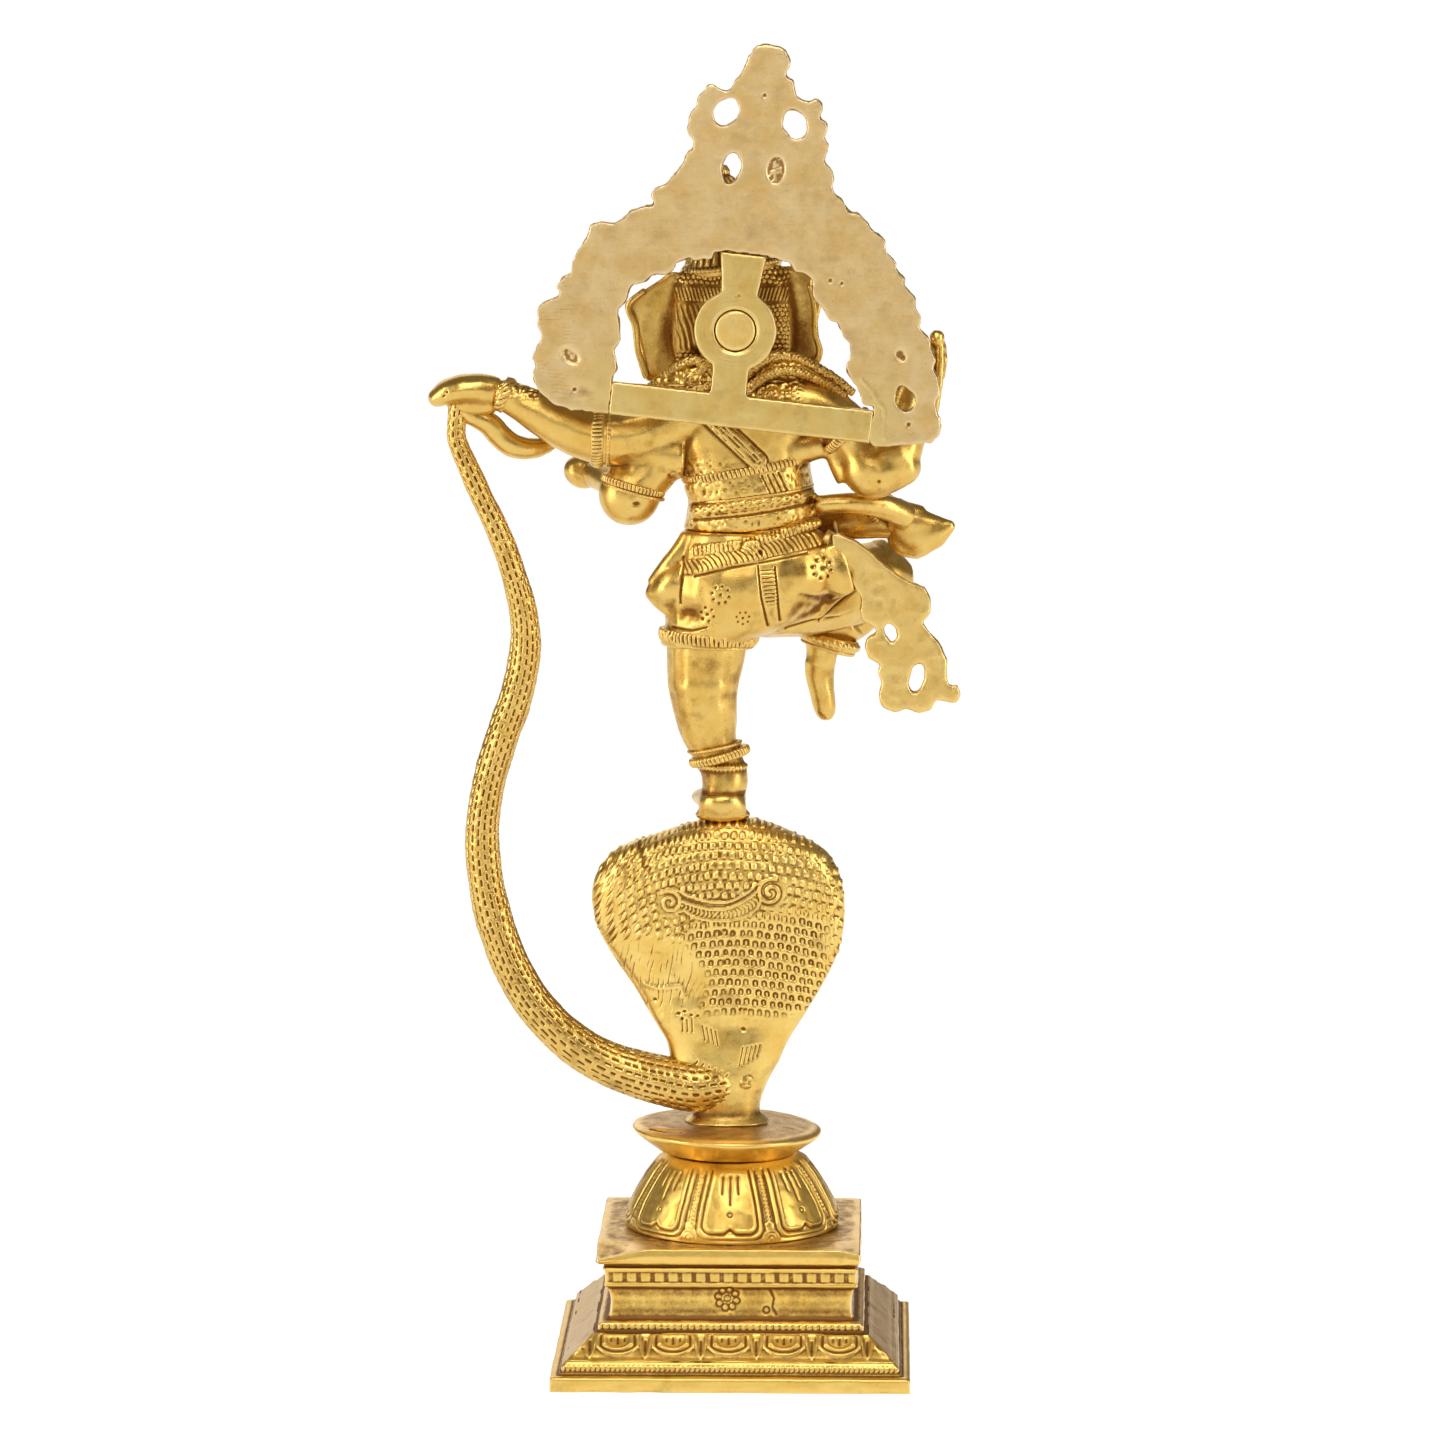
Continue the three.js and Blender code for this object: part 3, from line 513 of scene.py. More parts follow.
def plinth_tier(name):
    """One of the plinth's three tiers, closed by its inner wall, and the cap by its lid as well."""
    outside = PLINTH_TIERS[name]
    inside = PLINTH_INSIDE[name]
    pitch = {"plinth_foot": 0.42, "plinth_slope": 0.3, "plinth_cap": 0.44}[name]
    columns = {"plinth_foot": 1180, "plinth_slope": 1240, "plinth_cap": 800}[name]
    rows = profile_rows(outside, pitch, soften=2)
    walls = np.asarray(inside, float)
    capped = name == "plinth_cap"
    if capped:
        lid = np.array([(half, 46.0) for half in (*np.linspace(44.0, 26.0, 26), 14.0, 0.05)])
        roof = np.array([(0.05, 42.0), (20.0, 42.0)])
        rows = np.vstack([rows, lid])
        walls = np.vstack([roof, walls])
        profile = np.vstack([walls, rows])
    else:
        profile = np.vstack([rows, walls])
    grid = square_rings(profile[:, 0], profile[:, 1], columns)
    if capped:
        outer = np.zeros(len(profile), bool)
        outer[len(walls):] = True
    else:
        outer = np.arange(len(profile)) < len(rows)
    normal = grid_normals(grid, looped=not capped)
    x, y, z = (grid[..., k] for k in range(3))
    rear = step(-0.4, 0.8, np.abs(y) - np.abs(x))  # only the front and the back are decorated
    relief = {"plinth_foot": foot_relief, "plinth_slope": petal_relief, "plinth_cap": cap_relief}[name]
    height = relief(x, z) * rear
    if capped:
        back = rear * (y > 0)
        height += back * flower(x, z, 1.2, 28.4, 4.4)
        height += back * ring_mark(x, z, -12.2, 24.6, 1.2)
        crack, _ = near_line(x, z, [(-13.5, 31.5), (-14.8, 28.6), (-14.2, 25.5), (-15.6, 23.2)])
        height -= back * 0.3 * bell(crack, 0.4)
    rough = lumps(grid, 9.0) * 0.16 + lumps(grid, 3.1, 5.0) * 0.07 + lumps(grid, 1.2, 9.0) * 0.025
    height = (height + rough) * outer[:, None]
    grid = grid + normal * height[..., None]
    grid[..., 2] = np.maximum(grid[..., 2], 0)
    if capped:  # the filed top slopes down towards both rear corners
        top = step(41.0, 45.5, grid[..., 2]) * outer[:, None]
        corner = step(26.0, 46.0, grid[..., 0]) * 3.4 + step(36.0, 47.0, -grid[..., 0]) * 1.6
        grid[..., 2] -= top * corner * step(26.0, 45.0, grid[..., 1])
        block = step(38.0, 41.0, grid[..., 2]) * outer[:, None]
        grid[..., 0] += block * (0.9 + 0.016 * grid[..., 0])
    level = step(0.75, 0.95, normal[..., 2]) * capped * outer[:, None]
    worn = step(0.2, 0.8, np.abs(normal[..., 0])) * outer[:, None] + 0.4 * level
    worn = np.clip(worn, 0, 1) * (0.75 + 0.25 * lumps(grid, 6.0, 3.0))
    ends = [0.0] * (2 * capped)
    return marked(name, grid, not capped, np.r_[worn.ravel(), ends], np.r_[0.3 * level.ravel(), ends])


for tier in PLINTH_TIERS:
    nodes = ("plinth",) if tier == "plinth_foot" else ()
    add_piece(tier, plinth_tier(tier), BASE, nodes)


# ---------- lotus and disc ----------
def round_rings(profile, columns, x=0.0):
    """Rings of points round a vertical axis, x mm to the left of the middle."""
    a = circle(columns)
    r, z = profile[:, :1], profile[:, 1:2]
    return np.stack([x + r * np.cos(a), r * np.sin(a), np.broadcast_to(z, (len(r), columns))], axis=-1)


def lotus_relief(angle, radius, up):
    """Eight petals with a double outline and drops, and beaded strips between them. up is the
    distance along the slope from the foot."""
    eighth = math.pi / 4
    turn = (angle - math.pi / 2 + eighth / 2) % eighth - eighth / 2
    x = turn * radius
    half = radius * math.radians(17.2) * (1 - 0.05 * step(12, 26, up))
    corner = 3.6
    qx, qy = np.abs(x) - (half - corner), (2.4 + corner) - up
    outer = np.hypot(np.maximum(qx, 0), np.maximum(qy, 0)) + np.minimum(np.maximum(qx, qy), 0) - corner
    lift = 1.5 * bell(x, 1.5)
    qx, qy = np.abs(x) - (half - 1.9 - 2.6), (4.4 + 2.6) + lift - up
    inner = np.hypot(np.maximum(qx, 0), np.maximum(qy, 0)) + np.minimum(np.maximum(qx, qy), 0) - 2.6
    inside = step(0.5, -0.5, inner)
    height = 0.5 * bell(outer, 0.62) + 0.42 * bell(inner, 0.5) - 0.45 * bell(inner - 0.95, 0.42)
    height -= 0.4 * bell(outer - 1.2, 0.6)
    height += inside * 0.5 * np.clip(1 - (x / half) ** 2, 0, 1)
    for at, low in ((0.0, 13.0), (-2.9, 17.0), (2.9, 17.0)):
        width = 0.34 + 0.05 * (up - low)
        height -= inside * 0.62 * bell(x - at * radius / 31, np.clip(width, 0.25, 0.9)) \
            * step(low, low + 1.5, up) * step(25.5, 24.0, up)
    height -= inside * 0.35 * bell(np.hypot(x, up - 10.3) - 0.75, 0.3)
    # between the petals
    gap = (angle - math.pi / 2) % eighth - eighth / 2
    gx = gap * radius
    strip = step(0.4, 1.4, outer)
    beads = dome(np.hypot(gx, fold(up, 1.45)), 0.85)
    height += strip * step(6.8, 7.8, up) * step(26.5, 24.5, up) * (0.62 * beads - 0.35)
    arch = np.hypot(gx, up - 1.6)
    low = step(6.6, 5.6, up) * strip
    height += low * (0.42 * bell(arch - 3.0, 0.42) + 0.38 * bell(arch - 1.7, 0.36) + 0.45 * dome(arch, 0.7))
    height -= 0.2 * strip
    return height * step(0.4, 1.4, up) * step(28.5, 26.0, up)


def lotus():
    """The lotus dome, worn flat on one side, hollow from below."""
    low, high = box_mm("lotus_seat")
    centre = (low[0] + high[0]) / 2 - 1.0
    top, foot = high[2], low[2]
    outside = [(0.05, top), (20.0, top), (22.6, top), (24.2, top - 1.2), (26.0, top - 2.8),
               (28.2, top - 5.4), (30.4, top - 8.6), (32.4, top - 11.9), (34.2, top - 15.0),
               (35.8, top - 18.4), (36.9, top - 21.4), (37.3, top - 23.4), (36.9, foot)]
    inside = np.array([(33.4, foot), (31.0, foot + 7), (25.5, foot + 14), (16.0, top - 6), (0.05, top - 6)])
    rows = profile_rows(outside[2:], 0.3, soften=3)
    profile = np.vstack([outside[:2], rows, inside])
    grid = round_rings(profile, 760, centre)
    outer = (np.arange(len(profile)) < len(rows) + 2)[:, None]
    slope = distances(profile)
    up = (slope[len(rows) + 1] - slope)[:, None]
    angle = circle(760)[None, :]
    normal = -grid_normals(grid)
    height = lotus_relief(angle, profile[:, :1], up)
    wear = step(math.radians(30), math.radians(52), np.abs((angle - math.radians(40) + math.pi)
                                                         % (2 * math.pi) - math.pi))
    height = height * (0.45 + 0.55 * wear)
    height += lumps(grid, 6.0) * 0.14 + lumps(grid, 2.0, 3.0) * 0.07
    pit = np.linalg.norm(grid - np.array([centre - 19.0, 18.0, top - 2.2]), axis=2)
    height -= 1.2 * bell(pit, 0.9)
    grid = grid + normal * (height * outer)[..., None]
    return marked("lotus_petals", grid)


def disc():
    """The turned saucer disc, with a chipped notch at its rear left."""
    low, high = box_mm("lotus_disc")
    centre = (low[0] + high[0]) / 2
    top, foot, radius = high[2], low[2], (high[0] - low[0]) / 2
    outline = [(0.05, top), (14.0, top), (20.0, top - 0.1), (26.0, top - 0.5), (30.6, top - 1.0),
               (32.4, top - 1.5), (radius + 0.2, top - 2.3), (32.6, top - 3.4), (30.0, top - 5.4),
               (26.8, top - 7.6), (24.4, top - 9.2), (22.8, foot), (14.0, foot), (0.05, foot)]
    grid = round_rings(profile_rows(outline, 0.45, soften=4), 420, centre)
    normal = -grid_normals(grid)
    height = lumps(grid, 14.0) * 0.3 + lumps(grid, 4.0, 2.0) * 0.1
    x, y, z = (grid[..., k] - (centre if k == 0 else 0) for k in range(3))
    notch = near_line(x, y, [(16.0, 19.5), (20.5, 18.0), (25.0, 14.0)])[0]
    height -= 1.6 * bell(notch, 1.1) * (z > top - 1.4)
    grid = grid + normal * height[..., None]
    grid[..., 2] += 0.03 * (grid[..., 0] - centre)
    flat = np.r_[step(0.5, 0.9, normal[..., 2]).ravel(), 0, 0]
    return marked("disc", grid, worn=0.4 * flat, soot=0.32 * flat)


add_piece("lotus_petals", lotus(), BASE, ["lotus_seat"])
add_piece("disc", disc(), BASE, ["lotus_disc"])


# ---------- cobra ----------
def spiral(x, z, outer, inner, start, turns, count=40):
    """Points of a spiral from its outer end inwards. start is in degrees, turns may be negative."""
    t = np.linspace(0, 1, count)
    a = math.radians(start) + t * turns * 2 * math.pi
    r = outer + (inner - outer) * t
    return [(x + rr * math.cos(aa), z + rr * math.sin(aa)) for rr, aa in zip(r, a)]


def jitter(row, column, layer):
    """A fixed random number from -1 to 1 for each mark."""
    return LATTICE[row.astype(int) * 7 % CELLS, column.astype(int) * 13 % CELLS, layer]


def rounded(u, v, half_u, half_v, corner):
    """Signed distance to a rounded rectangle."""
    qu, qv = np.abs(u) - half_u + corner, np.abs(v) - half_v + corner
    return np.hypot(np.maximum(qu, 0), np.maximum(qv, 0)) + np.minimum(np.maximum(qu, qv), 0) - corner


def scale_marks(x, z):
    """Rows of hand-punched scales: raised bumps above, dark arches below."""
    pitch_x, pitch_z = 2.95, 3.45
    rise = 0.0055 * x ** 2 + 0.012 * np.clip(x - 20, 0, None) ** 2
    level = (z + rise) / pitch_z
    row = np.floor(level)
    lean = np.where(x > 0, 0.012 * np.clip(x - 8, 0, None), 0) * (z - 150)
    across = (x + lean) / pitch_x + 0.5 * (row % 2) + 0.12 * jitter(row, row * 3, 1)
    column = np.floor(across)
    u = (across - column - 0.5 + 0.09 * jitter(row, column, 2)) * pitch_x
    v = (level - row - 0.5 + 0.09 * jitter(row, column, 3)) * pitch_z
    size = 1 + 0.14 * jitter(row, column, 4)
    edge = rounded(u, v, 0.84 * size, 1.18 * size, 0.7)
    bump = 0.60 * np.sqrt(np.clip(-edge / 0.8, 0, 1)) - 0.30 * bell(np.hypot(u * 0.8, v + 1.55), 0.5)
    lit = 0.10 * bell(np.hypot(u + 0.2, v - 0.3), 0.5)
    arch = -0.75 * bell(edge + 0.12, 0.38) * step(-1.35, -0.3, v) - 0.12 * step(0.1, -0.4, edge)
    punched = step(158, 150, z + 0.1 * x) * step(20, 12, x) * step(-36, -27, x)
    strength = 1 + 0.35 * jitter(row, column, 5)
    marks = ((bump + lit) * (1 - punched) + arch * punched) * strength
    bare = np.clip(1.25 - np.hypot((x - 29) / 19, (z - 132) / 15.5), 0, 0.3) / 0.3
    bare = np.maximum(bare, step(21, 14, z - 104 - 0.12 * np.abs(x + 10)))
    bare = np.maximum(bare, step(30, 36, x) * step(140, 134, z))
    return marks * (1 - bare)


VOLUTE_LEFT = (21.8, 161.2)
VOLUTE_RIGHT = (-13.0, 164.8)
BAND_TOP = [(24.4, 165.4), (21.6, 166.3), (18.2, 165.0), (13.6, 162.9), (7.0, 161.6), (1.6, 161.7),
            (-4.0, 164.4), (-9.6, 168.6), (-13.6, 169.7)]
BAND_FOOT = [(17.8, 161.6), (13.0, 160.0), (7.0, 158.8), (1.4, 159.4), (-4.6, 162.4), (-8.6, 165.6)]
HATCH_FOOT = [(17.0, 158.4), (12.4, 155.8), (4.6, 154.6), (-2.6, 155.6), (-7.8, 158.8), (-9.6, 162.0)]


def ornament(x, z):
    """A crescent with a curl at each end and a hatched crescent under it. Returns its relief and
    how much of the scales it covers."""
    top, foot, hatch = (smooth_line(line, 40) for line in (BAND_TOP, BAND_FOOT, HATCH_FOOT))
    left = spiral(*VOLUTE_LEFT, 4.3, 0.9, 50, 1.5)
    right = spiral(*VOLUTE_RIGHT, 4.9, 1.0, 110, -1.45)
    cover = np.maximum.reduce([
        step(0.6, 0.0, np.hypot(x - VOLUTE_LEFT[0], z - VOLUTE_LEFT[1]) - 4.6),
        step(0.6, 0.0, np.hypot(x - VOLUTE_RIGHT[0], z - VOLUTE_RIGHT[1]) - 5.2),
        step(18.6, 17.8, x) * step(-10.4, -9.6, x)
        * step(0.4, -0.2, z - np.interp(x, top[::-1, 0], top[::-1, 1]))
        * step(-0.4, 0.2, z - np.interp(x, hatch[::-1, 0], hatch[::-1, 1])),
    ])
    height = np.zeros(np.shape(x))
    for line in (top, foot, hatch, left, right):
        d, _ = near_line(x, z, line)
        height = np.maximum(height, 0.5 * bell(d, 0.5)) - 0.3 * bell(d - 0.95, 0.32) * (height < 0.2)
    d, along = near_line(x, z, (foot + hatch) / 2)
    stroke = np.abs(fold(along + 0.5 * d, 1.45))
    height += step(1.5, 1.0, d) * (0.3 * bell(stroke, 0.35) - 0.15)
    return height, cover


# Chisel strokes and flaws low on the hood: x, z, the stroke's run in x and z, its width
STROKES = [
    *[(17.6 - 1.7 * i, 115.4, 0.2, 4.6 - 0.5 * (i % 2), 0.35) for i in range(3)],
    *[(9.8 - 1.5 * i, 112.5 - 0.6 * i, 0.9, 5.0, 0.35) for i in range(4)],
    *[(-2.2 - 1.5 * i, 103.5 + 0.8 * i, -1.2, 6.5 - 0.6 * i, 0.38) for i in range(5)],
    *[(14.0 - 2.1 * i, 103.0 - 0.9 * i, -1.6, 2.1, 0.4) for i in range(6)],
    *[(15.0 - 2.4 * i, 99.4 - 0.7 * i, -2.0, 1.5, 0.4) for i in range(6)],
]
PITS = [(19.0, 121.6, 1.2), (16.9, 122.4, 1.0), (14.6, 121.2, 1.1), (12.3, 121.0, 0.8), (17.8, 119.9, 0.9),
        (-2.4, 123.2, 0.9), (-4.4, 123.4, 0.8), (-3.6, 116.4, 1.3), (27.5, 126.0, 0.9), (-9.5, 141.0, 0.6)]


def hood_relief(x, z):
    """Scales, the ornament, chisel strokes and flaws on the back of the hood."""
    height = scale_marks(x, z)
    crest, cover = ornament(x, z)
    height = height * (1 - cover) + crest * np.maximum(cover, step(0.2, 0.4, crest))
    for sx, sz, dx, dz, width in STROKES:
        d, _ = near_line(x, z, [(sx, sz), (sx + dx, sz + dz)])
        height -= 0.42 * bell(d, width)
    for px, pz, reach in PITS:
        height -= 0.75 * bell(np.hypot(x - px, (z - pz) * 1.3), reach * 0.7)
    # the dented bare patch, with long faint scratches and a ledge under it
    patch = np.clip(1.2 - np.hypot((x - 28) / 17, (z - 134) / 13), 0, 0.5) * 2
    height -= patch * 0.9
    scratch = fold(x + 0.22 * (z - 134) + 1.6 * lumps_2d(x, z, 9.0), 1.7)
    height -= patch * 0.22 * bell(scratch, 0.26) * step(-0.2, 0.3, lumps_2d(x * 2.2, z * 0.35, 2.4))
    ledge, _ = near_line(x, z, [(31.0, 131.5), (26.0, 130.2), (18.5, 131.4), (16.8, 127.5)])
    height += 0.45 * bell(ledge, 0.8)
    height += 0.6 * dome(np.hypot(x + 4.6, z - 98.0), 2.2) * (1 + lumps_2d(x, z, 0.9))
    # the notch where the left lobe starts
    notch, _ = near_line(x, z, [(32.6, 184.0), (32.2, 178.5), (30.5, 174.0)])
    height -= 0.8 * bell(notch, 1.9)
    # the smooth hollow under the punched scales and the swelling towards the tail
    height -= 0.9 * bell(np.hypot((x + 3) / 1.6, z - 117), 5.0)
    return height


def lumps_2d(x, z, size):
    """The same noise over a flat drawing."""
    return lumps(np.stack([x, np.zeros(np.shape(x)), z], axis=-1), size)


def hood_half(name, back):
    """The hood's back or front, closed by a wall hidden inside."""
    points = node_points("cobra_hood")
    levels = np.unique(np.round(points[:, 2], 1))
    rings = [points[np.abs(points[:, 2] - z) < 0.06] for z in levels]
    table = np.array([(z, r[:, 0].max(), r[:, 0].min(), r[:, 1].max(), r[:, 1].min())
                      for z, r in zip(levels, rings) if len(r) > 12])
    table = np.vstack([table, [table[-1, 0] + 0.9, 2.0, -1.0, -1.0, -4.0]])
    rows = 326
    steps = smooth_line(table[:, [1, 0, 2, 3, 4]], rows)  # even along the left outline
    left, z, right, rear, front = (steps[:, k][:, None] for k in range(5))
    a = np.linspace(0, math.pi, 296 if back else 132)
    c, s = np.cos(a)[None, :], np.sin(a)[None, :]
    power = 2 / 2.3
    middle, half = (left + right) / 2, (left - right) / 2
    y_mid, deep = (rear + front) / 2, (rear - front) / 2
    x = middle + half * np.sign(c) * np.abs(c) ** power
    y = y_mid + deep * s ** power * (1 if back else -1)
    grid = np.stack([x, y, np.broadcast_to(z, x.shape)], axis=-1)
    if not back:
        grid = grid[:, ::-1]
    fan = np.repeat(grid[:, :1], 2, axis=1) * 0.35 + np.repeat(grid[:, -1:], 2, axis=1) * 0.65
    inner = np.concatenate([fan, grid[:, :1] * 0.65 + grid[:, -1:] * 0.35], axis=1)
    grid = np.concatenate([grid, inner], axis=1)
    normal = grid_normals(grid)
    columns = len(a)
    x, z = grid[..., 0], grid[..., 2]
    height = lumps(grid, 13.0) * 0.35 + lumps(grid, 4.0, 2.0) * 0.10 + lumps(grid, 1.3, 4.0) * 0.03
    fade = step(0.0, 0.12, s) * step(82.0, 90.0, grid[:, :columns, 2])
    relief = (hood_relief if back else front_relief)(x[:, :columns], z[:, :columns])
    height[:, :columns] += relief * (fade if back else fade[:, ::-1])
    height[:, columns:] = 0
    height[:, :columns] += 0.35
    grid = grid + normal * height[..., None]
    return marked(name, grid)


def front_relief(x, z):
    """Belly scutes down the middle of the hood's front, and scales at its sides."""
    belly = step(9.5, 8.5, np.abs(x - 2))
    scutes = 0.5 * np.sqrt(np.abs(np.sin((z + 0.02 * (x - 2) ** 2) * math.pi / 4.6))) - 0.3
    rim = 0.5 * bell(np.abs(x - 2) - 9.6, 0.7)
    return belly * scutes + rim + (1 - belly) * scale_marks(x, z) * step(12, 14, np.abs(x - 2))


# The tail's middle line from inside the hood up to the dancer's hand: x, y, z and radius
TAIL = [(-7, -6, 95.5, 3.8), (-4, -3.0, 96.4, 5.6), (1, 1.0, 96.8, 7.2), (7, 4.3, 96.2, 8.4),
        (14, 5.4, 95.6, 9.0), (24, 3, 97.2, 8.7), (33, 1, 99.0, 8.2), (43, 0, 102.2, 7.6),
        (53.5, 0, 108, 7.2), (62.5, 0, 115.6, 6.8), (70.5, 0, 124.8, 6.7), (76.8, 0, 135.5, 6.5),
        (81.2, 0, 146.5, 6.4), (84.9, 0, 160, 6.2), (87, 0, 174, 5.9), (87, 0, 188, 5.6),
        (84.6, 0, 202, 5.5), (80.6, 0, 216, 5.6), (75.8, 0, 230, 5.6), (72.5, 0, 244, 5.4),
        (72.2, 1, 258, 4.8), (75.2, 3, 272.2, 4.3), (79.9, 5, 286.4, 4.0), (86.1, 5, 300, 3.7),
        (92.2, 5, 313.8, 3.4), (95.0, 5, 321, 3.2), (95.0, 5, 328, 3.2), (94.0, 5, 333, 3.3),
        (91.0, 5, 337, 2.6)]
TAIL_TIP = [(93.5, 5, 333, 2.8), (91, 4.6, 330.0, 3.5), (87.4, 4, 328.0, 3.8), (83.6, 3, 325.6, 4.1),
            (80.4, 2, 321.8, 4.2), (76.4, 1, 318.6, 4.1), (71.4, -1, 317.2, 3.7), (65.5, -4, 318.0, 3.0),
            (60.8, -5, 321.2, 1.8), (60.2, -5, 322.4, 0.6)]


def tube_grid(stations, rows, columns):
    """Rings along a smooth line of (x, y, z, radius), which start at the back. Also returns each
    point's outward direction, and each ring's distance along the line."""
    line = smooth_line(stations, rows)
    centre, radius = line[:, :3], line[:, 3]
    along = distances(centre)
    tangent = np.gradient(centre, axis=0)
    tangent /= np.linalg.norm(tangent, axis=1, keepdims=True)
    back = np.array([0.0, 1.0, 0.0])
    first = back - tangent * (tangent @ back)[:, None]
    first /= np.linalg.norm(first, axis=1, keepdims=True)
    second = np.cross(tangent, first)
    a = circle(columns)
    spread = first[:, None] * np.cos(a)[None, :, None] + second[:, None] * np.sin(a)[None, :, None]
    return centre[:, None] + spread * radius[:, None, None], spread, along


def dashes(along, around, radius, pitch_round=2.35, pitch=3.5):
    """Rows of short punched dashes running along a tail."""
    girth = 2 * math.pi * radius
    count = np.maximum(np.round(girth / pitch_round), 6)
    turn = around * count
    column = np.floor(turn)
    u = (turn - column - 0.5) * girth / count
    level = along / pitch + 0.5 * (column % 2) + 0.15 * jitter(column, column, 6)
    row = np.floor(level)
    v = (level - row - 0.5 + 0.12 * jitter(row, column, 7)) * pitch
    edge = rounded(u, v, 0.30, 1.05 * (1 + 0.3 * jitter(row, column, 8)), 0.28)
    return (-0.55 * step(0.32, -0.25, edge) + 0.16 * bell(edge - 0.5, 0.3)) \
        * (1 + 0.4 * jitter(row, column, 9))


def tail_piece(name, stations, rows, columns, marks=True):
    """A stretch of the cobra's tail, with or without punched dashes."""
    grid, spread, along = tube_grid(stations, rows, columns)
    around = (np.arange(columns) / columns)[None, :]
    height = lumps(grid, 8.0) * 0.22 + lumps(grid, 2.6, 3.0) * 0.08
    if marks:
        # one number of rows of dashes per stretch, so that the rows don't swirl as the tail thins
        stretch = np.interp(along, [0, 120, 121, 245, 246, along[-1]], [7.4, 7.4, 5.9, 5.9, 4.2, 4.2])
        length = along[:, None] * (1 + 0.35 * step(90, 20, along[:, None]))
        height += dashes(length, around, np.broadcast_to(stretch[:, None], grid.shape[:2]))
    ends = np.minimum(along, along[-1] - along)[:, None]
    height *= step(0, 2, ends)
    grid = grid + spread * height[..., None]
    return marked(name, grid)


def skull():
    """The cobra's head under the front of the hood: nose, jaw line and two eyes."""
    low, high = box_mm("cobra_head")
    x = (low[0] + high[0]) / 2
    top = high[2]
    rings = [(x, -2, top - 8, 13.4, 6.0), (x, -12, top - 7.6, 14.4, 7.4), (x, -22, top - 8.0, 14.6, 7.8),
             (x, -31, top - 9.4, 12.2, 6.8), (x, -38, top - 11.6, 8.6, 5.2), (x, -42.6, top - 13.6, 5.0, 3.4),
             (x, -44.0, top - 14.2, 1.0, 0.8)]
    line = smooth_line(rings, 200)
    a = circle(240)[None, :]
    c, s = np.cos(a), np.sin(a)
    px = line[:, 0:1] + line[:, 3:4] * np.sign(c) * np.abs(c) ** 0.86
    pz = line[:, 2:3] + line[:, 4:5] * np.sign(s) * np.abs(s) ** 0.92
    py = np.broadcast_to(line[:, 1:2], px.shape)
    grid = np.stack([px, py, pz], axis=-1)
    normal = -grid_normals(grid)
    side = np.abs(px - x)
    mouth = bell(pz - (line[:, 2:3] - 0.28 * line[:, 4:5]), 0.5) * step(-18, -24, py)
    eye = np.sqrt((side - 10.2) ** 2 + (py + 28.5) ** 2 + (pz - line[:, 2:3] - 3.2) ** 2)
    height = -0.8 * mouth + 1.5 * dome(eye, 2.6) - 0.4 * bell(eye - 3.0, 0.4) + 0.6 * dome(eye, 1.1)
    height += lumps(grid, 5.0) * 0.15
    scales = np.abs(fold(px - x + 1.6 * (np.floor(py / 3.2) % 2), 3.2)) + np.abs(fold(py, 3.2))
    height += (pz > line[:, 2:3]) * step(3.6, 4.4, eye) * (0.3 - 0.22 * bell(scales - 1.5, 0.5)) * 0.6
    grid = grid + normal * height[..., None]
    return marked("cobra_skull", grid)


add_piece("hood_back", hood_half("hood_back", True), HOOD_PAINTED_LIGHT, ["cobra_hood"])
add_piece("hood_front", hood_half("hood_front", False), HOOD_PAINTED_LIGHT)
add_piece("tail_long", tail_piece("tail_long", TAIL, 940, 104), CAST, ["cobra_tail"])
add_piece("tail_point", tail_piece("tail_point", TAIL_TIP, 150, 64, False), CAST,
          ["cobra_tail_tip"])
add_piece("cobra_skull", skull(), CAST, ["cobra_head"])


# ---------- melted castings ----------
def solid_of(node, swell):
    """A CAD node's welded points, moved out a little to close the seams, and its triangles."""
    mesh = NODES[node].data
    mesh.calc_loop_triangles()
    triangles = np.zeros(len(mesh.loop_triangles) * 3, int)
    mesh.loop_triangles.foreach_get("vertices", triangles)
    points, index = np.unique(np.round(node_points(node), 3), axis=0, return_inverse=True)
    triangles = index.reshape(-1)[triangles].reshape(-1, 3)
    a, b, c = (points[triangles[:, k]] for k in range(3))
    across = np.cross(b - a, c - a)
    normal = np.stack([sum(np.bincount(triangles[:, k], across[:, axis], len(points)) for k in range(3))
                       for axis in range(3)], axis=1)
    normal /= np.maximum(np.linalg.norm(normal, axis=1, keepdims=True), 1e-9)
    return points + normal * swell, triangles


def rod(*stations):
    """A soft limb along (x, y, z, radius)."""
    return closed(tube_grid(stations, 6 * len(stations), 14)[0])


def egg(centre, radii, turn=0.0):
    """An ellipsoid, turned about Y by some degrees."""
    a = np.linspace(0.12, math.pi - 0.12, 12)[:, None]
    b = circle(20)[None, :]
    ball = np.stack([np.sin(a) * np.cos(b), np.sin(a) * np.sin(b), np.broadcast_to(np.cos(a), (12, 20))],
                    axis=-1) * np.asarray(radii, float)
    x, z = turned(ball[..., 0], ball[..., 2], math.radians(turn))
    return closed(np.stack([x, ball[..., 1], z], axis=-1) + np.asarray(centre, float))


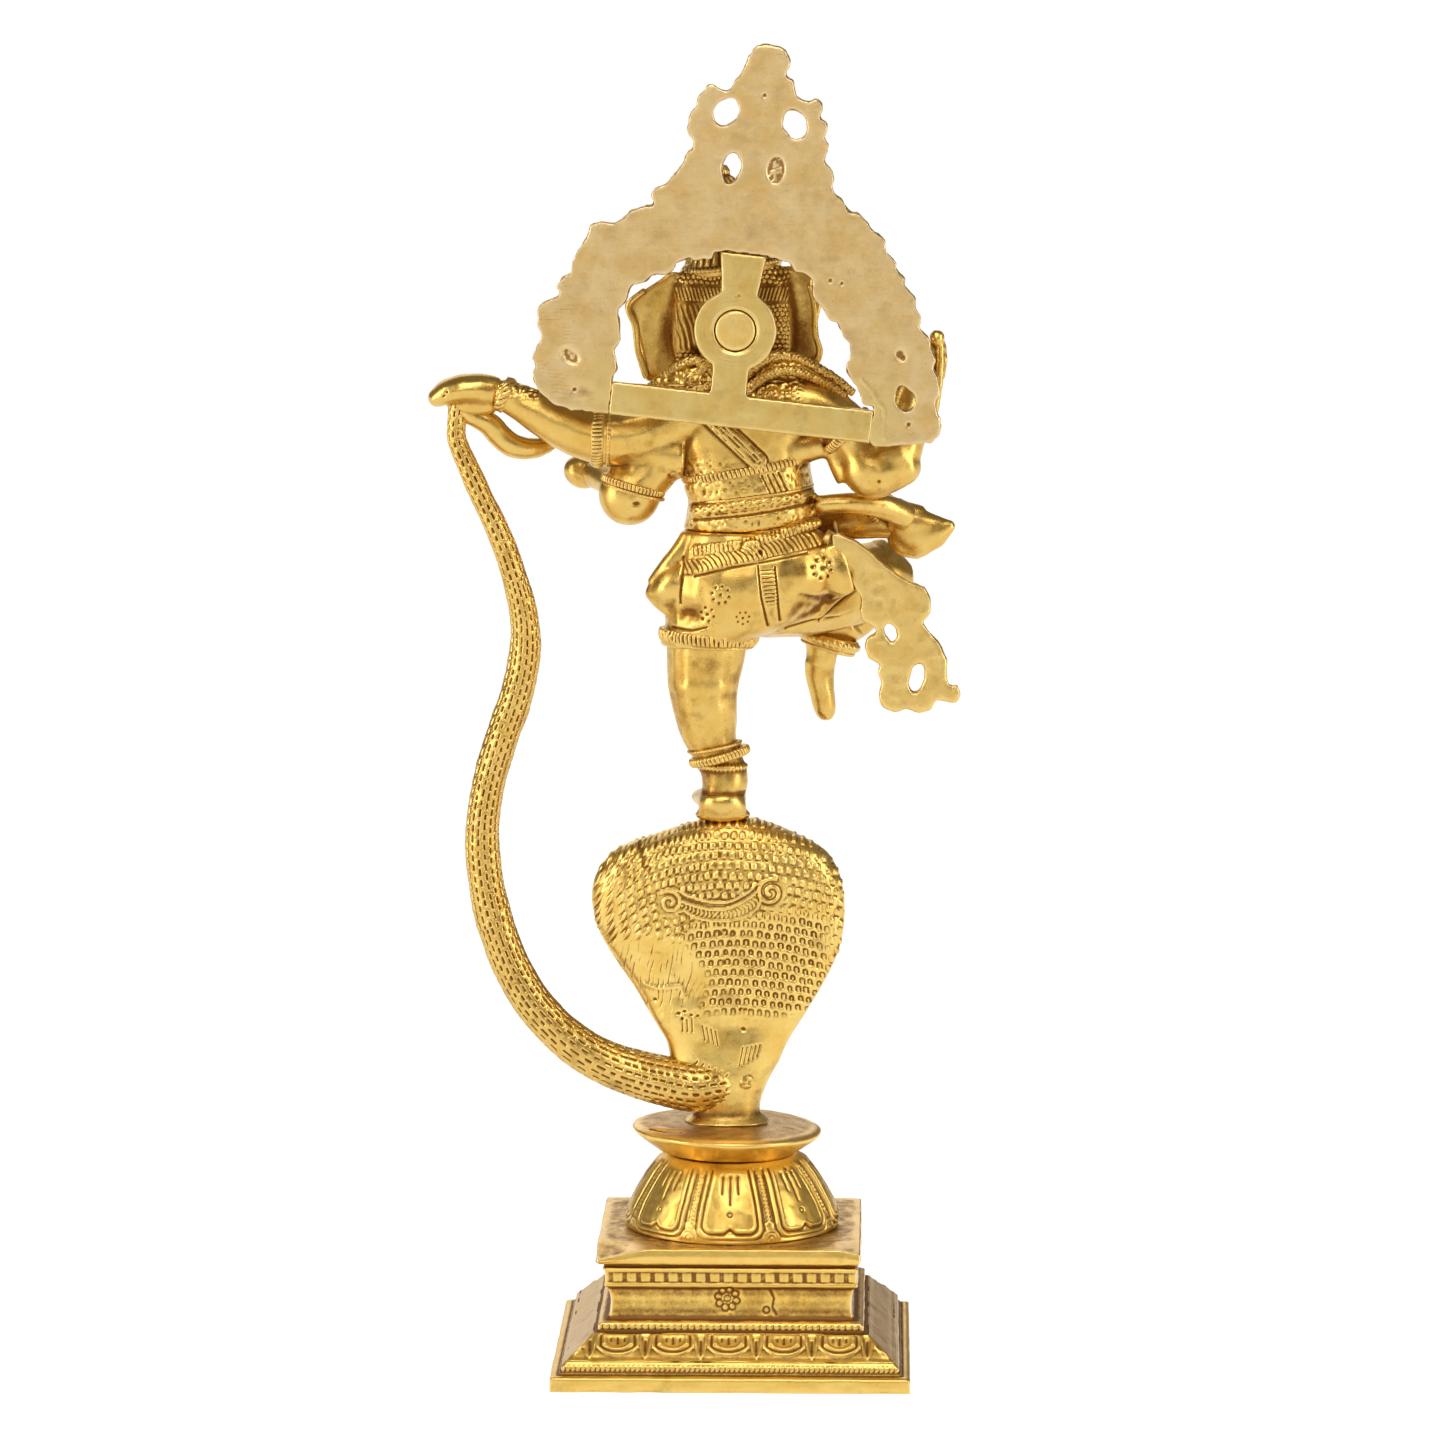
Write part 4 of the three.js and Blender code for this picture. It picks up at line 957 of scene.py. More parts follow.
def melt(name, solids, voxel, rounds):
    """One smooth skin round several solids, as wax makes it: joined by a voxel remesh, then relaxed."""
    points, faces, start = [], [], 0
    for p, f in solids:
        points.append(p)
        faces.append(f + start)
        start += len(p)
    holder = bpy.data.objects.new(name + "_source", new_mesh(name + "_source", np.vstack(points),
                                                            np.vstack(faces)))
    bpy.context.scene.collection.objects.link(holder)
    remesh = holder.modifiers.new("remesh", "REMESH")
    remesh.mode = "VOXEL"
    remesh.voxel_size = voxel * MM
    remesh.use_smooth_shade = True
    done = holder.evaluated_get(bpy.context.evaluated_depsgraph_get())
    mesh = bpy.data.meshes.new_from_object(done)
    mesh.name = name
    source = holder.data
    bpy.data.objects.remove(holder)
    bpy.data.meshes.remove(source)
    where, edges, _ = mesh_arrays(mesh)
    set_points(mesh, smooth_points(where, edges, rounds))
    return mesh


def cast_piece(name, solids, relief, nodes, voxel, rounds, rough=0.1, material=CAST,
               body="statue", worn=None, soot=None):
    """A piece melted together from solids. relief(points, normals) and the casting's unevenness
    move each point along its normal. worn and soot are functions of the points and normals."""
    mesh = melt(name, solids, voxel, rounds)
    points, _, normals = mesh_arrays(mesh)
    height = relief(points, normals) + lumps(points, 6.0) * rough + lumps(points, 2.2, 3.0) * rough * 0.5
    set_points(mesh, points + normals * height[:, None])
    points, _, normals = mesh_arrays(mesh)
    set_marks(mesh, worn(points, normals) if worn else None, soot(points, normals) if soot else 0.0)
    return add_piece(name, mesh, material, nodes, body)


def host(node):
    """A ray target made of a CAD node."""
    points, faces = solid_of(node, 0.25)
    return BVHTree.FromPolygons(points.tolist(), faces.tolist())


def hug(tree, centre, axis, count=180, reach=70.0):
    """Points where a slanting plane through centre meets the target, going round once."""
    axis = Vector(axis).normalized()
    side = axis.orthogonal().normalized()
    other = axis.cross(side)
    radii = []
    for i in range(count):
        a = 2 * math.pi * i / count
        ray = side * math.cos(a) + other * math.sin(a)
        hit = tree.ray_cast(Vector(centre), ray, reach)
        radii.append(hit[3] if hit[3] is not None else radii[-1] if radii else 5.0)
    radii = np.array(radii)
    for _ in range(6):
        radii = (radii * 2 + np.roll(radii, 1) + np.roll(radii, -1)) / 4
    a = circle(count)
    spread = np.outer(np.cos(a), side) + np.outer(np.sin(a), other)
    return np.asarray(centre, float) + spread * radii[:, None], np.array(axis)


def ellipse(centre, across, deep, tilt=0.0, count=180):
    """A level ring round a vertical limb. tilt is its rise in z for each mm of x."""
    a = circle(count)
    x, y = across * np.cos(a), deep * np.sin(a)
    axis = np.array([-tilt, 0, 1]) / math.hypot(1, tilt)
    return np.stack([x, y, tilt * x], axis=1) + np.asarray(centre, float), axis


def plate(outlines, back, thick):
    """Points and triangles of a flat plate: an outline in (x, z), then its holes."""
    flat = [[Vector((x, z, 0)) for x, z in outline] for outline in outlines]
    cap = np.array(tessellate_polygon(flat))
    total = sum(len(outline) for outline in outlines)
    x, z = np.vstack([np.asarray(outline) for outline in outlines]).T
    points = np.vstack([np.stack([x, np.full(total, y), z], axis=1) for y in (back, back - thick)])
    faces, start = [cap, cap[:, ::-1] + total], 0
    for outline in outlines:
        j = start + np.arange(len(outline))
        k = start + (np.arange(len(outline)) + 1) % len(outline)
        faces.append(split_quads(np.stack([j, k, k + total, j + total], axis=1)))
        start += len(outline)
    return points, np.vstack(faces)


def strap(name, loop, axis, width, thick, pattern, replaces=()):
    """A raised band round a limb. pattern(along, across) gives its relief in mm."""
    line = np.vstack([loop, loop[:1]])
    far = distances(line)
    at = np.linspace(0, far[-1], int(far[-1] / 0.28), endpoint=False)
    line = sampled(line, far, at)
    tangent = np.roll(line, -1, 0) - np.roll(line, 1, 0)
    out = np.cross(tangent, axis)
    out /= np.linalg.norm(out, axis=1, keepdims=True)
    if ((line - line.mean(0)) * out).sum() < 0:
        out = -out
    a = circle(30)[None, :, None]
    across = np.sign(np.cos(a)) * np.abs(np.cos(a)) ** 0.7 * width / 2
    rise = np.sign(np.sin(a)) * np.abs(np.sin(a)) ** 0.7
    relief = pattern(at[:, None], across[0, :, 0][None, :]) * (rise[0, :, 0][None, :] > 0.05)
    raised = np.where(rise > 0, rise * thick, rise * 0.8) - 0.1
    grid = line[:, None] + across * np.asarray(axis) + out[:, None] * (raised + relief[..., None])
    return add_piece(name, marked(name, grid, looped=True), TRIM, replaces)


def roped(pitch, slant=0.6, depth=0.45):
    """Slanting strands, as in a twisted cord."""
    return lambda s, v: depth * (np.sqrt(np.abs(np.sin((s + slant * v) * math.pi / pitch))) - 0.7)


def hatched(pitch, depth=0.4, edge=None):
    """Upright strokes, with a plain fillet on both edges when edge gives its place."""
    def pattern(s, v):
        strokes = -depth * bell(fold(s + 0.12 * v, pitch), pitch * 0.2)
        if edge is None:
            return strokes
        return strokes * step(edge, edge - 0.3, np.abs(v)) - 0.3 * bell(np.abs(v) - edge, 0.22)
    return pattern


def beaded(pitch, depth=0.5):
    """One row of round beads."""
    return lambda s, v: depth * dome(np.hypot(fold(s, pitch), v), pitch * 0.55) - depth * 0.6


# ---------- the dancer's body and arms ----------
def line_cut(p, line, width, depth):
    """A groove along a line of (x, z), on whatever faces the line."""
    d, _ = near_line(p[:, 0], p[:, 2], line)
    return -depth * bell(d, width)


def dots(p, cx, cz, reach, count=8, depth=0.55):
    """A punched flower of round pits."""
    height = -depth * bell(np.hypot(p[:, 0] - cx, p[:, 2] - cz), reach * 0.17)
    for x, z in ring_of(cx, cz, reach * 0.8, count, 0.25):
        height -= depth * bell(np.hypot(p[:, 0] - x, p[:, 2] - z), reach * 0.14)
    return height


WAIST_CORD = [(14.0, 296.3), (1.6, 298.6), (-7.2, 299.7), (-17.6, 301.4), (-29.0, 302.4)]


def body_relief(p, n):
    """The chest strap, the folds and cords round the waist, and the flaws of the casting."""
    back = step(0.0, 0.35, n[:, 1]) * step(-4, 0, p[:, 1])
    x, z = p[:, 0], p[:, 2]
    height = np.zeros(len(p))
    d, _ = near_line(x, z, [(12.0, 333.5), (3.3, 325.3), (-8.6, 314.2)])
    strap_over = step(3.1, 2.7, d)
    height += back * strap_over * (0.75 - 0.5 * bell(fold(d, 1.55) - 0.775, 0.3) * (d > 0.3))
    height -= back * 0.4 * bell(d - 3.3, 0.4)
    trunk_back = back * step(24, 20, x) * step(-31, -28, x)
    for i in range(4):
        height += trunk_back * line_cut(p, [(-9.9 - 1.95 * i, 309.3 + 0.25 * i),
                                            (-12.7 - 1.95 * i, 303.6 + 0.25 * i)], 0.42, 0.55)
    for line, width, depth in (
        ([(14, 298.9), (-0.2, 301.2), (-17.6, 303.4), (-28.5, 304.2)], 0.45, 0.5),
        ([(14, 293.4), (-5.4, 295.7), (-17, 297.6), (-28.5, 299.6)], 0.5, 0.65),
        ([(15, 288.6), (-2, 289.0), (-12.4, 290.6), (-31, 294.8)], 0.45, 0.5),
    ):
        height += trunk_back * line_cut(p, line, width, depth)
    # the braided cord round the waist: two wavy strands that cross, and lumps in the gaps
    cord, along = near_line(x, z, WAIST_CORD)
    over = z > np.interp(x, *zip(*WAIST_CORD[::-1]))
    side = np.where(over, cord, -cord)
    wave = 0.75 * np.sin(along * math.pi / 3.1)
    braid = np.maximum(bell(side - wave, 0.62), bell(side + wave, 0.62))
    height += trunk_back * step(2.1, 1.6, cord) * (0.75 * braid + 0.25)
    height += trunk_back * 0.2 * lumps(p, 1.1, 6.0) * step(316, 313, z)
    crumbs = back * step(334, 337, z) * (step(4, 6, x) + step(-4, -6, x) * step(-25, -21, x))
    height += crumbs * 0.9 * np.abs(lumps(p, 1.3, 9.0))
    front = step(0.0, 0.4, -n[:, 1]) * (np.abs(x + 5) < 22)
    height -= front * 1.3 * bell(np.hypot(x + 6, z - 299), 1.3)  # the navel
    height -= front * 0.5 * bell(z - 316.6 - 0.02 * (x + 3) ** 2, 0.8) * (np.abs(x + 3) < 14)
    height -= back * 0.8 * bell(np.hypot(x - 33, (z - 299.5) * 1.6), 1.7)  # flaws on the two elbows
    height -= back * 0.45 * bell(np.hypot(x + 50, z - 307.5), 1.0)
    return height


cast_piece("body_skin", [
    *(solid_of(n, 0.4) for n in ("torso", "left_rear_arm", "left_front_arm", "right_front_arm")),
    solid_of("right_rear_arm", -1.0), solid_of("head", -2.0),
    egg((2, -15, 343), (9, 8, 9)),
    rod((12, 6, 338, 5.0), (2, 6.4, 340, 5.6), (-8, 8.0, 336, 6.6), (-16, 9.6, 334.8, 7.8),
        (-26, 10.2, 333.4, 8.4), (-35, 9.4, 329.6, 8.0), (-42, 8.0, 325.4, 6.6)),
    rod((-8, 9.4, 342, 4.0), (-15, 10.0, 345.6, 4.4), (-22, 9.4, 345.4, 4.4), (-30, 8.4, 341.4, 3.8),
        (-38, 7.0, 336.0, 3.0)),
    egg((-47.8, 7.2, 311.4), (10.8, 8.6, 10.6), -20), egg((-53.6, 6.8, 315.6), (9.6, 8.2, 9.4), -20),
    rod((-53, 5, 320, 7.0), (-57.6, 4, 330, 6.4), (-61, 3, 340, 5)),
    rod((-33.8, 5, 322, 4.0), (-36.4, 4.4, 314, 4.4), (-40.0, 5.0, 308, 5.2)),
    rod((9.6, 1.5, 308, 8.8), (6.6, 1.5, 299, 8.6), (8.0, 1.5, 291, 8.4)),
    rod((-20, 4, 317, 6.0), (-31, 5, 320, 5.0)),
    rod((-28, 0, 298, 3.6), (-41, 0.6, 298.8, 3.9), (-52, -4, 297.0, 4.6), (-60, -10, 293.0, 4.8)),
    rod((-36, -17, 289.0, 5.0), (-52, -13.6, 289.4, 4.4), (-60, -13.2, 289.2, 5.6)),
    egg((35.8, 4.0, 302.2), (10.9, 9.6, 11.2)),
    rod((38, 5, 317.5, 6.4), (26, 5, 316, 7.6), (17, 4.4, 315.4, 8.6)),
    egg((14.8, 9.5, 341.5), (9.6, 5.0, 6.0), 10), egg((22, 8.6, 340.5), (7.5, 4.2, 4.2), 14),
], body_relief, ["torso", "left_rear_arm", "right_rear_arm", "left_front_arm", "right_front_arm"],
    voxel=0.5, rounds=30)

TORSO = host("torso")
LIMBS = {name: host(name) for name in ("left_rear_arm", "right_rear_arm", "right_front_arm")}
strap("chest_rope", *hug(TORSO, (-3.6, -2, 310.6), (0.19, 0, 1)), 3.3, 1.1, hatched(1.55, 0.55),
      ["chest_band"])
strap("waist_cord", *hug(TORSO, (-7, -4, 301.9), (0.13, 0, 1)), 0.9, 0.35, roped(1.2, 0.6, 0.1),
      ["waist_belt"])
strap("rear_armlet_left", *hug(LIMBS["left_rear_arm"], (46.4, 5.3, 321.6), (1, 0, 0.05)), 4.4, 1.5,
      hatched(1.35, 0.5, 1.6), ["left_rear_armlet"])
strap("rear_armlet_left_rim", *hug(LIMBS["left_rear_arm"], (42.6, 5.2, 321.8), (1, 0, 0.05)), 1.5, 0.7,
      beaded(1.5, 0.3))
strap("rear_bracelet_left", *hug(LIMBS["left_rear_arm"], (78.4, 6, 336.4), (0.9, 0, 0.44)), 3.8, 0.9,
      roped(2.6, 1.1, 0.5), ["left_rear_bracelet"])
strap("front_armlet_left", *ellipse((34.6, 4, 305.2), 10.0, 9.6, 0.29), 2.6, 1.2,
      hatched(1.3, 0.5), ["left_front_armlet"])
strap("front_armlet_left_rim", *ellipse((34.6, 4, 303.2), 10.3, 9.8, 0.29), 1.1, 0.7, roped(1.1, 0.4, 0.2))
strap("rear_armlet_right", *hug(LIMBS["right_rear_arm"], (-38.0, 4.6, 323.4), (0.72, 0, 0.7)), 3.4, 1.3,
      hatched(1.3, 0.5, 1.2), ["right_rear_armlet"])
strap("front_bracelet_right", *hug(LIMBS["right_front_arm"], (-49.0, -14.0, 295.6), (-0.86, 0.4, 0.3)), 3.2,
      1.0, hatched(1.3, 0.4), ["right_front_bracelet"])


# ---------- the garment and the legs ----------
# Lines of (x, z) along the fringe under the waist, and the two cords above it
FRINGE = [(18.0, 277.9), (10.2, 278.6), (4.4, 280.8), (-2.0, 281.8), (-8.6, 283.4), (-13.3, 284.6),
          (-22.9, 286.4), (-31.6, 287.8), (-38.5, 288.9)]
LACE = [(13.5, 283.6), (5.4, 284.6), (-1.0, 285.6)]
CORD = [(-3.4, 286.6), (-9.0, 287.5), (-15.9, 289.4), (-24.7, 291.8), (-33.0, 293.4)]


def garment_relief(p, n):
    """The seams, fringe, lace, punched flowers and folds of the cloth."""
    x, z = p[:, 0], p[:, 2]
    back = step(-0.1, 0.3, n[:, 1]) * step(-6, 0, p[:, 1])
    height = np.zeros(len(p))
    for line, width, depth in (
        ([(-8.7, 279.1), (-9.8, 268.0), (-12.1, 257.8)], 0.42, 0.8),
        ([(-14.5, 278.5), (-15.6, 268.0), (-16.2, 259.6)], 0.42, 0.8),
        ([(13.2, 275.0), (1.2, 278.1), (-8.0, 279.8), (-25.4, 283.0)], 0.34, 0.6),
        ([(17.2, 281.0), (17.6, 273.0), (18.6, 265.4)], 0.4, 0.85),
        ([(-38.4, 290.0), (-39.6, 280.0), (-42.2, 269.2)], 0.42, 0.9),
        ([(-29.5, 257.8), (-35.0, 263.0), (-41.5, 268.0)], 0.4, 0.85),
        ([(-24.0, 268.6), (-30.0, 266.4), (-36.0, 266.8)], 1.6, 0.7),
        ([(-18.0, 255.8), (-27.0, 258.2), (-36.5, 259.0), (-44.0, 262.0)], 0.6, 0.6),
        ([(9.0, 257.4), (14.0, 256.2), (21.0, 256.8)], 0.5, 0.6),
    ):
        height += back * line_cut(p, line, width, depth)
    hatch = step(-8.9, -9.6, x - 0.16 * (z - 279)) * step(-14.9, -14.2, x - 0.1 * (z - 279))
    hatch *= step(265.0, 266.0, z) * step(278.6, 277.8, z)
    height -= back * hatch * 0.45 * bell(fold(z + 0.06 * x, 1.35), 0.28)
    d, along = near_line(x, z, FRINGE)
    above = z > np.interp(x, *zip(*FRINGE[::-1]))
    side = np.where(above, d, -d)
    stroke = fold(along + 0.45 * side + 0.07 * side ** 2 + 0.5 * lumps(p, 3.0, 2.0), 1.75)
    fringe = step(2.7, 1.9, np.abs(side)) * step(17.6, 16.4, x)
    height += back * fringe * (0.3 - 0.6 * bell(stroke, 0.4))
    height -= back * 0.3 * bell(side + 2.7, 0.4) * step(17.6, 16.4, x)
    for line, pitch in ((LACE, 1.5), (CORD, 1.45)):
        d, along = near_line(x, z, line)
        band = step(1.9, 1.4, d)
        beads = 0.35 * np.abs(lumps(p, 1.0, 8.0)) - 0.4 * bell(fold(along, pitch), 0.34)
        height += back * band * (0.35 + beads)
    knot = np.hypot((x + 6.4) * 0.8, z - 285.2)
    height += back * (0.9 * dome(knot, 2.6) - 1.1 * bell(np.hypot(x + 9.6, z - 283.6), 0.85))
    for place in ((4.0, 269.0, 3.6), (-30.4, 277.5, 4.2, 8, 0.7), (-3.5, 260.9, 2.7, 7, 0.4),
                  (8.8, 262.0, 3.0, 6, 0.6)):
        height += back * dots(p, *place)
    # hollows and folds of the cloth: the middle's x and z, the shape, the reach and the height
    for cx, cz, wide, reach, rise in ((16, 262, 1.4, 3.6, -2.0), (-24, 265, 1.5, 4.5, -1.0),
                                      (-32, 276, 1.6, 5.5, 1.0), (2, 270, 1.6, 6.0, 0.8)):
        height += back * rise * bell(np.hypot((x - cx) / wide, z - cz), reach)
    front = step(0.0, 0.4, -n[:, 1]) * (z > 252)
    pleat = fold(x * 0.9 + 0.35 * (z - 270), 4.2)
    height += front * (0.55 * bell(pleat, 1.2) - 0.3)
    return height


def garment_soot(p, n):
    """Grey-brown smudges left in the folds between the thighs."""
    x, z = p[:, 0], p[:, 2]
    soot = np.zeros(len(p))
    for cx, cz, wide, tall in ((14, 262, 7, 5), (-14, 261, 10, 4), (-27, 264, 9, 5), (-38, 266, 6, 6)):
        soot += 0.42 * bell(np.hypot((x - cx) / wide, (z - cz) / tall), 1.0)
    return soot * (0.6 + 0.9 * lumps(p, 2.6, 5.0)) * step(-2, 4, p[:, 1])


cast_piece("garment", [
    solid_of("dhoti", 0.4),
    rod((9, 5, 272, 8), (17, 5.6, 272, 7.6), (22.5, 5.6, 269.6, 6.6), (26.6, 5.2, 268.2, 4.4),
        (30.2, 4.8, 268.6, 1.9)),
    rod((14.6, 5.0, 288, 3.8), (18.2, 5.4, 282, 3.8), (23.8, 5.2, 275.6, 3.4), (28.4, 5.0, 270.8, 2.2)),
    rod((27.6, 5.0, 266.6, 2.4), (23.6, 5.0, 264.0, 3.2), (19.0, 5.0, 262.0, 4.0)),
    rod((-32, 2.0, 284, 8.0), (-36, 3.0, 276, 8.2), (-40, 3.0, 268.4, 7.4)),
    solid_of("right_leg", -0.8), egg((-19, 6.0, 290.2), (12.0, 7.8, 3.0), 14),
], garment_relief, ["dhoti", "left_hip_fold"], voxel=0.4, rounds=32, soot=garment_soot)
strap("hem_left", *ellipse((8.8, 0, 252.6), 16.0, 15.4, 0.06), 4.4, 1.5,
      lambda s, v: hatched(1.5, 0.7)(s, v) + 0.5 * lumps_2d(s + 0 * v, v + 0 * s, 1.6), ["left_hem_band"])
strap("hem_left_rim", *ellipse((8.8, 0, 250.0), 15.0, 14.6, 0.06), 1.2, 0.9, roped(2.2, 0.4, 0.12))


def leg_soot(p, n):
    """A light brown film that thickens towards the ankles."""
    return 0.17 + 0.14 * lumps(p, 7.0, 3.0) + 0.12 * step(226, 210, p[:, 2])


def left_leg_relief(p, n):
    """The knee's crease, the calf, an anklet cord and the gaps between the toes."""
    x, z = p[:, 0], p[:, 2]
    back = step(0.0, 0.4, n[:, 1])
    height = back * 0.4 * bell(z - 235.6, 2.4)
    height -= back * 0.5 * bell(z - 198.6, 1.2)
    height += back * 0.7 * bell(np.hypot((x - 8) / 1.4, z - 229), 6.0)
    height -= back * 0.5 * bell(np.hypot((x - 8) / 1.4, z - 244), 3.4)
    height += 0.8 * bell(z - 207.6, 0.9) * (z > 204)
    height -= 0.25 * bell(fold(np.arctan2(p[:, 1] - 1, x - 5) * 9.0, 1.6), 0.4) * bell(z - 207.6, 1.2)
    toe = step(-27.0, -30.0, p[:, 1]) * (z < 200)
    gap = np.abs(fold(x - 4.0, 3.15)) - 1.55
    return height - toe * 0.8 * bell(gap, 0.45)


cast_piece("leg_left", [
    rod((8.6, 0, 268, 14.0), (9.0, 0, 257, 13.8), (9.5, 0, 248.5, 14.1), (10.5, 0, 235.3, 12.4),
        (9.1, 0.2, 222, 10.6), (6.8, 0.6, 213.3, 8.4), (3.6, 1.0, 206.5, 8.0), (3.0, 1.2, 201.6, 8.2),
        (3.8, 1.4, 197.0, 7.4), (4.2, 1.6, 192.6, 8.4)),
    solid_of("left_foot", 0.6),
    egg((3.8, 4.6, 194.0), (8.6, 5.4, 6.0)), egg((3.8, 1.8, 190.6), (10.2, 7.4, 2.6)),
    *(rod((-2.2 + 3.1 * i, -30, 191.8, 1.9), (-2.8 + 3.2 * i, -36 + 0.8 * i, 191.2, 1.9)) for i in range(5)),
], left_leg_relief, ["left_leg", "left_foot"], voxel=0.45, rounds=40, soot=leg_soot)
strap("anklet_left", *ellipse((4.9, 1.0, 211.0), 9.0, 9.4, -0.26), 3.2, 1.7, hatched(1.35, 0.5),
      ["left_anklet"])
strap("anklet_left_cord", *ellipse((6.6, 1.0, 214.2), 8.9, 9.3, -0.2), 1.3, 0.6, beaded(1.2, 0.4))


def right_leg_relief(p, n):
    """A swelling above the ankle and the gaps between the toes."""
    height = 0.5 * bell(p[:, 2] - 240, 2.0) * step(0.0, 0.4, n[:, 1])
    low = step(229, 226, p[:, 2])
    return height - low * 0.5 * bell(fold(p[:, 0] + 31.4, 2.4) - 1.2, 0.4) * step(-0.2, -0.6, n[:, 1])


cast_piece("leg_right", [
    solid_of("right_leg", -1.4), solid_of("right_foot", -1.0),
    rod((-46, -26, 275.4, 10.6), (-51.4, -30, 271, 9.6)),
    rod((-40, -27.6, 256, 8.6), (-32.0, -27.4, 250.4, 7.6), (-30.0, -27.8, 243, 5.6),
        (-28.8, -28.8, 237, 4.9), (-30.2, -29.8, 230, 4.7), (-31.4, -30.4, 222.4, 4.1),
        (-31.7, -30.4, 219.0, 2.2)),
    *(rod((-34.0 + 2.0 * i, -34, 226.4, 1.5), (-33.8 + 1.9 * i, -35.4, 221.2, 1.4)) for i in range(4)),
], right_leg_relief, ["right_leg", "right_foot"], voxel=0.45, rounds=60, soot=leg_soot)
strap("hem_right", *ellipse((-32.6, -25.0, 248.4), 9.2, 8.6, 0.3), 4.2, 1.7, beaded(2.2, 0.7),
      ["right_anklet"])
strap("hem_right_rim", *ellipse((-32.2, -25.4, 245.8), 8.6, 8.0, 0.3), 1.4, 1.0, roped(2.0, 0.3, 0.1))


# ---------- the head ----------
def head_relief(p, n):
    """Curled and combed hair, veined ears, and the plain features of an elephant's face."""
    x, y, z = p.T
    height = np.zeros(len(p))
    hair = step(-9, -3, y) * step(3.0, 0.0, np.abs(x - 0.5) - 17.5)
    wander = 0.5 * lumps(p, 4.0)
    row = np.floor((z + wander) / 1.6)
    curl = np.hypot(fold(x + wander + 0.9 * (row % 2), 1.8), fold(z + wander - 0.8, 1.6))
    curls = np.clip(step(374, 375, z) + step(352, 350, z) + step(-6.5, -8.0, x) * step(368, 367, z), 0, 1)
    height += hair * (0.55 * dome(curl, 0.95) - 0.25) * curls
    stroke = bell(fold(x - 0.3 * (z - 370) * np.sign(x), 1.3), 0.3)
    height += hair * step(368.6, 369.2, z) * step(373.6, 373.0, z) * (0.35 - 0.45 * stroke)
    lock = fold(x * 0.9 - 0.25 * (z - 350) * np.sign(x) + wander, 1.8)
    height += hair * step(368, 366, z) * step(350, 353, z) * (1 - curls) * (0.4 * bell(lock, 0.6) - 0.2)
    wings = step(15.0, 17.5, np.abs(x - 0.5)) * step(-3, 0, y)
    height += wings * 0.16 * np.sin((np.abs(x) * 0.6 + (z - 350) * 0.16) * 1.2)
    height -= wings * 0.8 * bell(np.hypot((np.abs(x) - 24.5) / 0.6, (z - 358) / 2.4), 4.4) * (n[:, 1] > 0.4)
    for side in (-1, 1):
        eye = np.sqrt((x - 0.8 - side * 9.4) ** 2 + (z - 361.5) ** 2)
        face = step(-12, -15, y)
        height += face * (1.0 * dome(eye, 2.1) - 0.6 * bell(eye - 2.6, 0.5) + 0.35 * bell(eye - 4.0, 0.6))
        brow, _ = near_line(x, z, [(0.8 + side * 3.5, 366.5), (0.8 + side * 9.5, 368.4),
                                   (0.8 + side * 15.0, 364.5)])
        height += face * 0.5 * bell(brow, 0.8)
    trunk = step(-24, -27, y) * step(352, 348, z)
    height -= trunk * 0.4 * bell(fold(z + 0.25 * x, 3.0), 0.5)
    mark, _ = near_line(x, z, [(0.8, 368.5), (0.8, 372.5)])
    height += step(-12, -15, y) * 0.8 * bell(mark, 0.9)
    return height


def head_rear_darkening(p, n):
    """Extra patina over the back of the head behind the aureole, most near the middle and towards the
    dancer's right.
    """
    rear = step(-8, 2, p[:, 1])
    near = step(26, 12, np.abs(p[:, 0] - 0.5))
    return rear * (0.06 + near * 0.34 + step(2, -12, p[:, 0]) * 0.14)


cast_piece("head_skin", [
    solid_of("head", 0.3), solid_of("trunk", 0.35), solid_of("left_ear", -0.2), solid_of("right_ear", -0.1),
    egg((1, -17, 366), (11, 7.5, 8)), egg((-7, -15, 369), (6, 6, 6)), egg((8.6, -15, 369), (6, 6, 6)),
    egg((-8.6, -15, 354), (6.4, 7, 6)), egg((10.4, -15, 354), (6.4, 7, 6)),
    egg((0.5, -3, 377), (18.5, 14, 8)),
    *(rod((0.5 + s * 13, 2.4, 376, 4.6), (0.5 + s * 15.6, 2.6, 366, 5.4), (0.5 + s * 16.4, 2.4, 356, 5.6),
          (0.5 + s * 15, 2.0, 346, 4.6)) for s in (-1, 1)),
    rod((30, 6.0, 372.5, 1.2), (36.2, 6.2, 367, 1.5), (33.4, 6.4, 360, 1.5), (32.6, 6.2, 351, 1.5),
        (29.6, 5.8, 342, 1.5)),
    rod((-25.6, 6.0, 375, 1.2), (-27.6, 6.2, 367, 1.4), (-27.8, 6.2, 358, 1.4), (-29.6, 6.2, 351, 1.4),
        (-26.4, 5.8, 345, 1.4)),
], head_relief, ["head", "trunk", "left_ear", "right_ear"], voxel=0.38, rounds=34, rough=0.08, soot=head_rear_darkening)
for tusk in ("right_tusk", "left_tusk"):
    cast_piece(tusk + "_ivory", [solid_of(tusk, 0.3)], lambda p, n: 0.1 * lumps(p, 1.5), [tusk],
               voxel=0.3, rounds=16, rough=0.05)


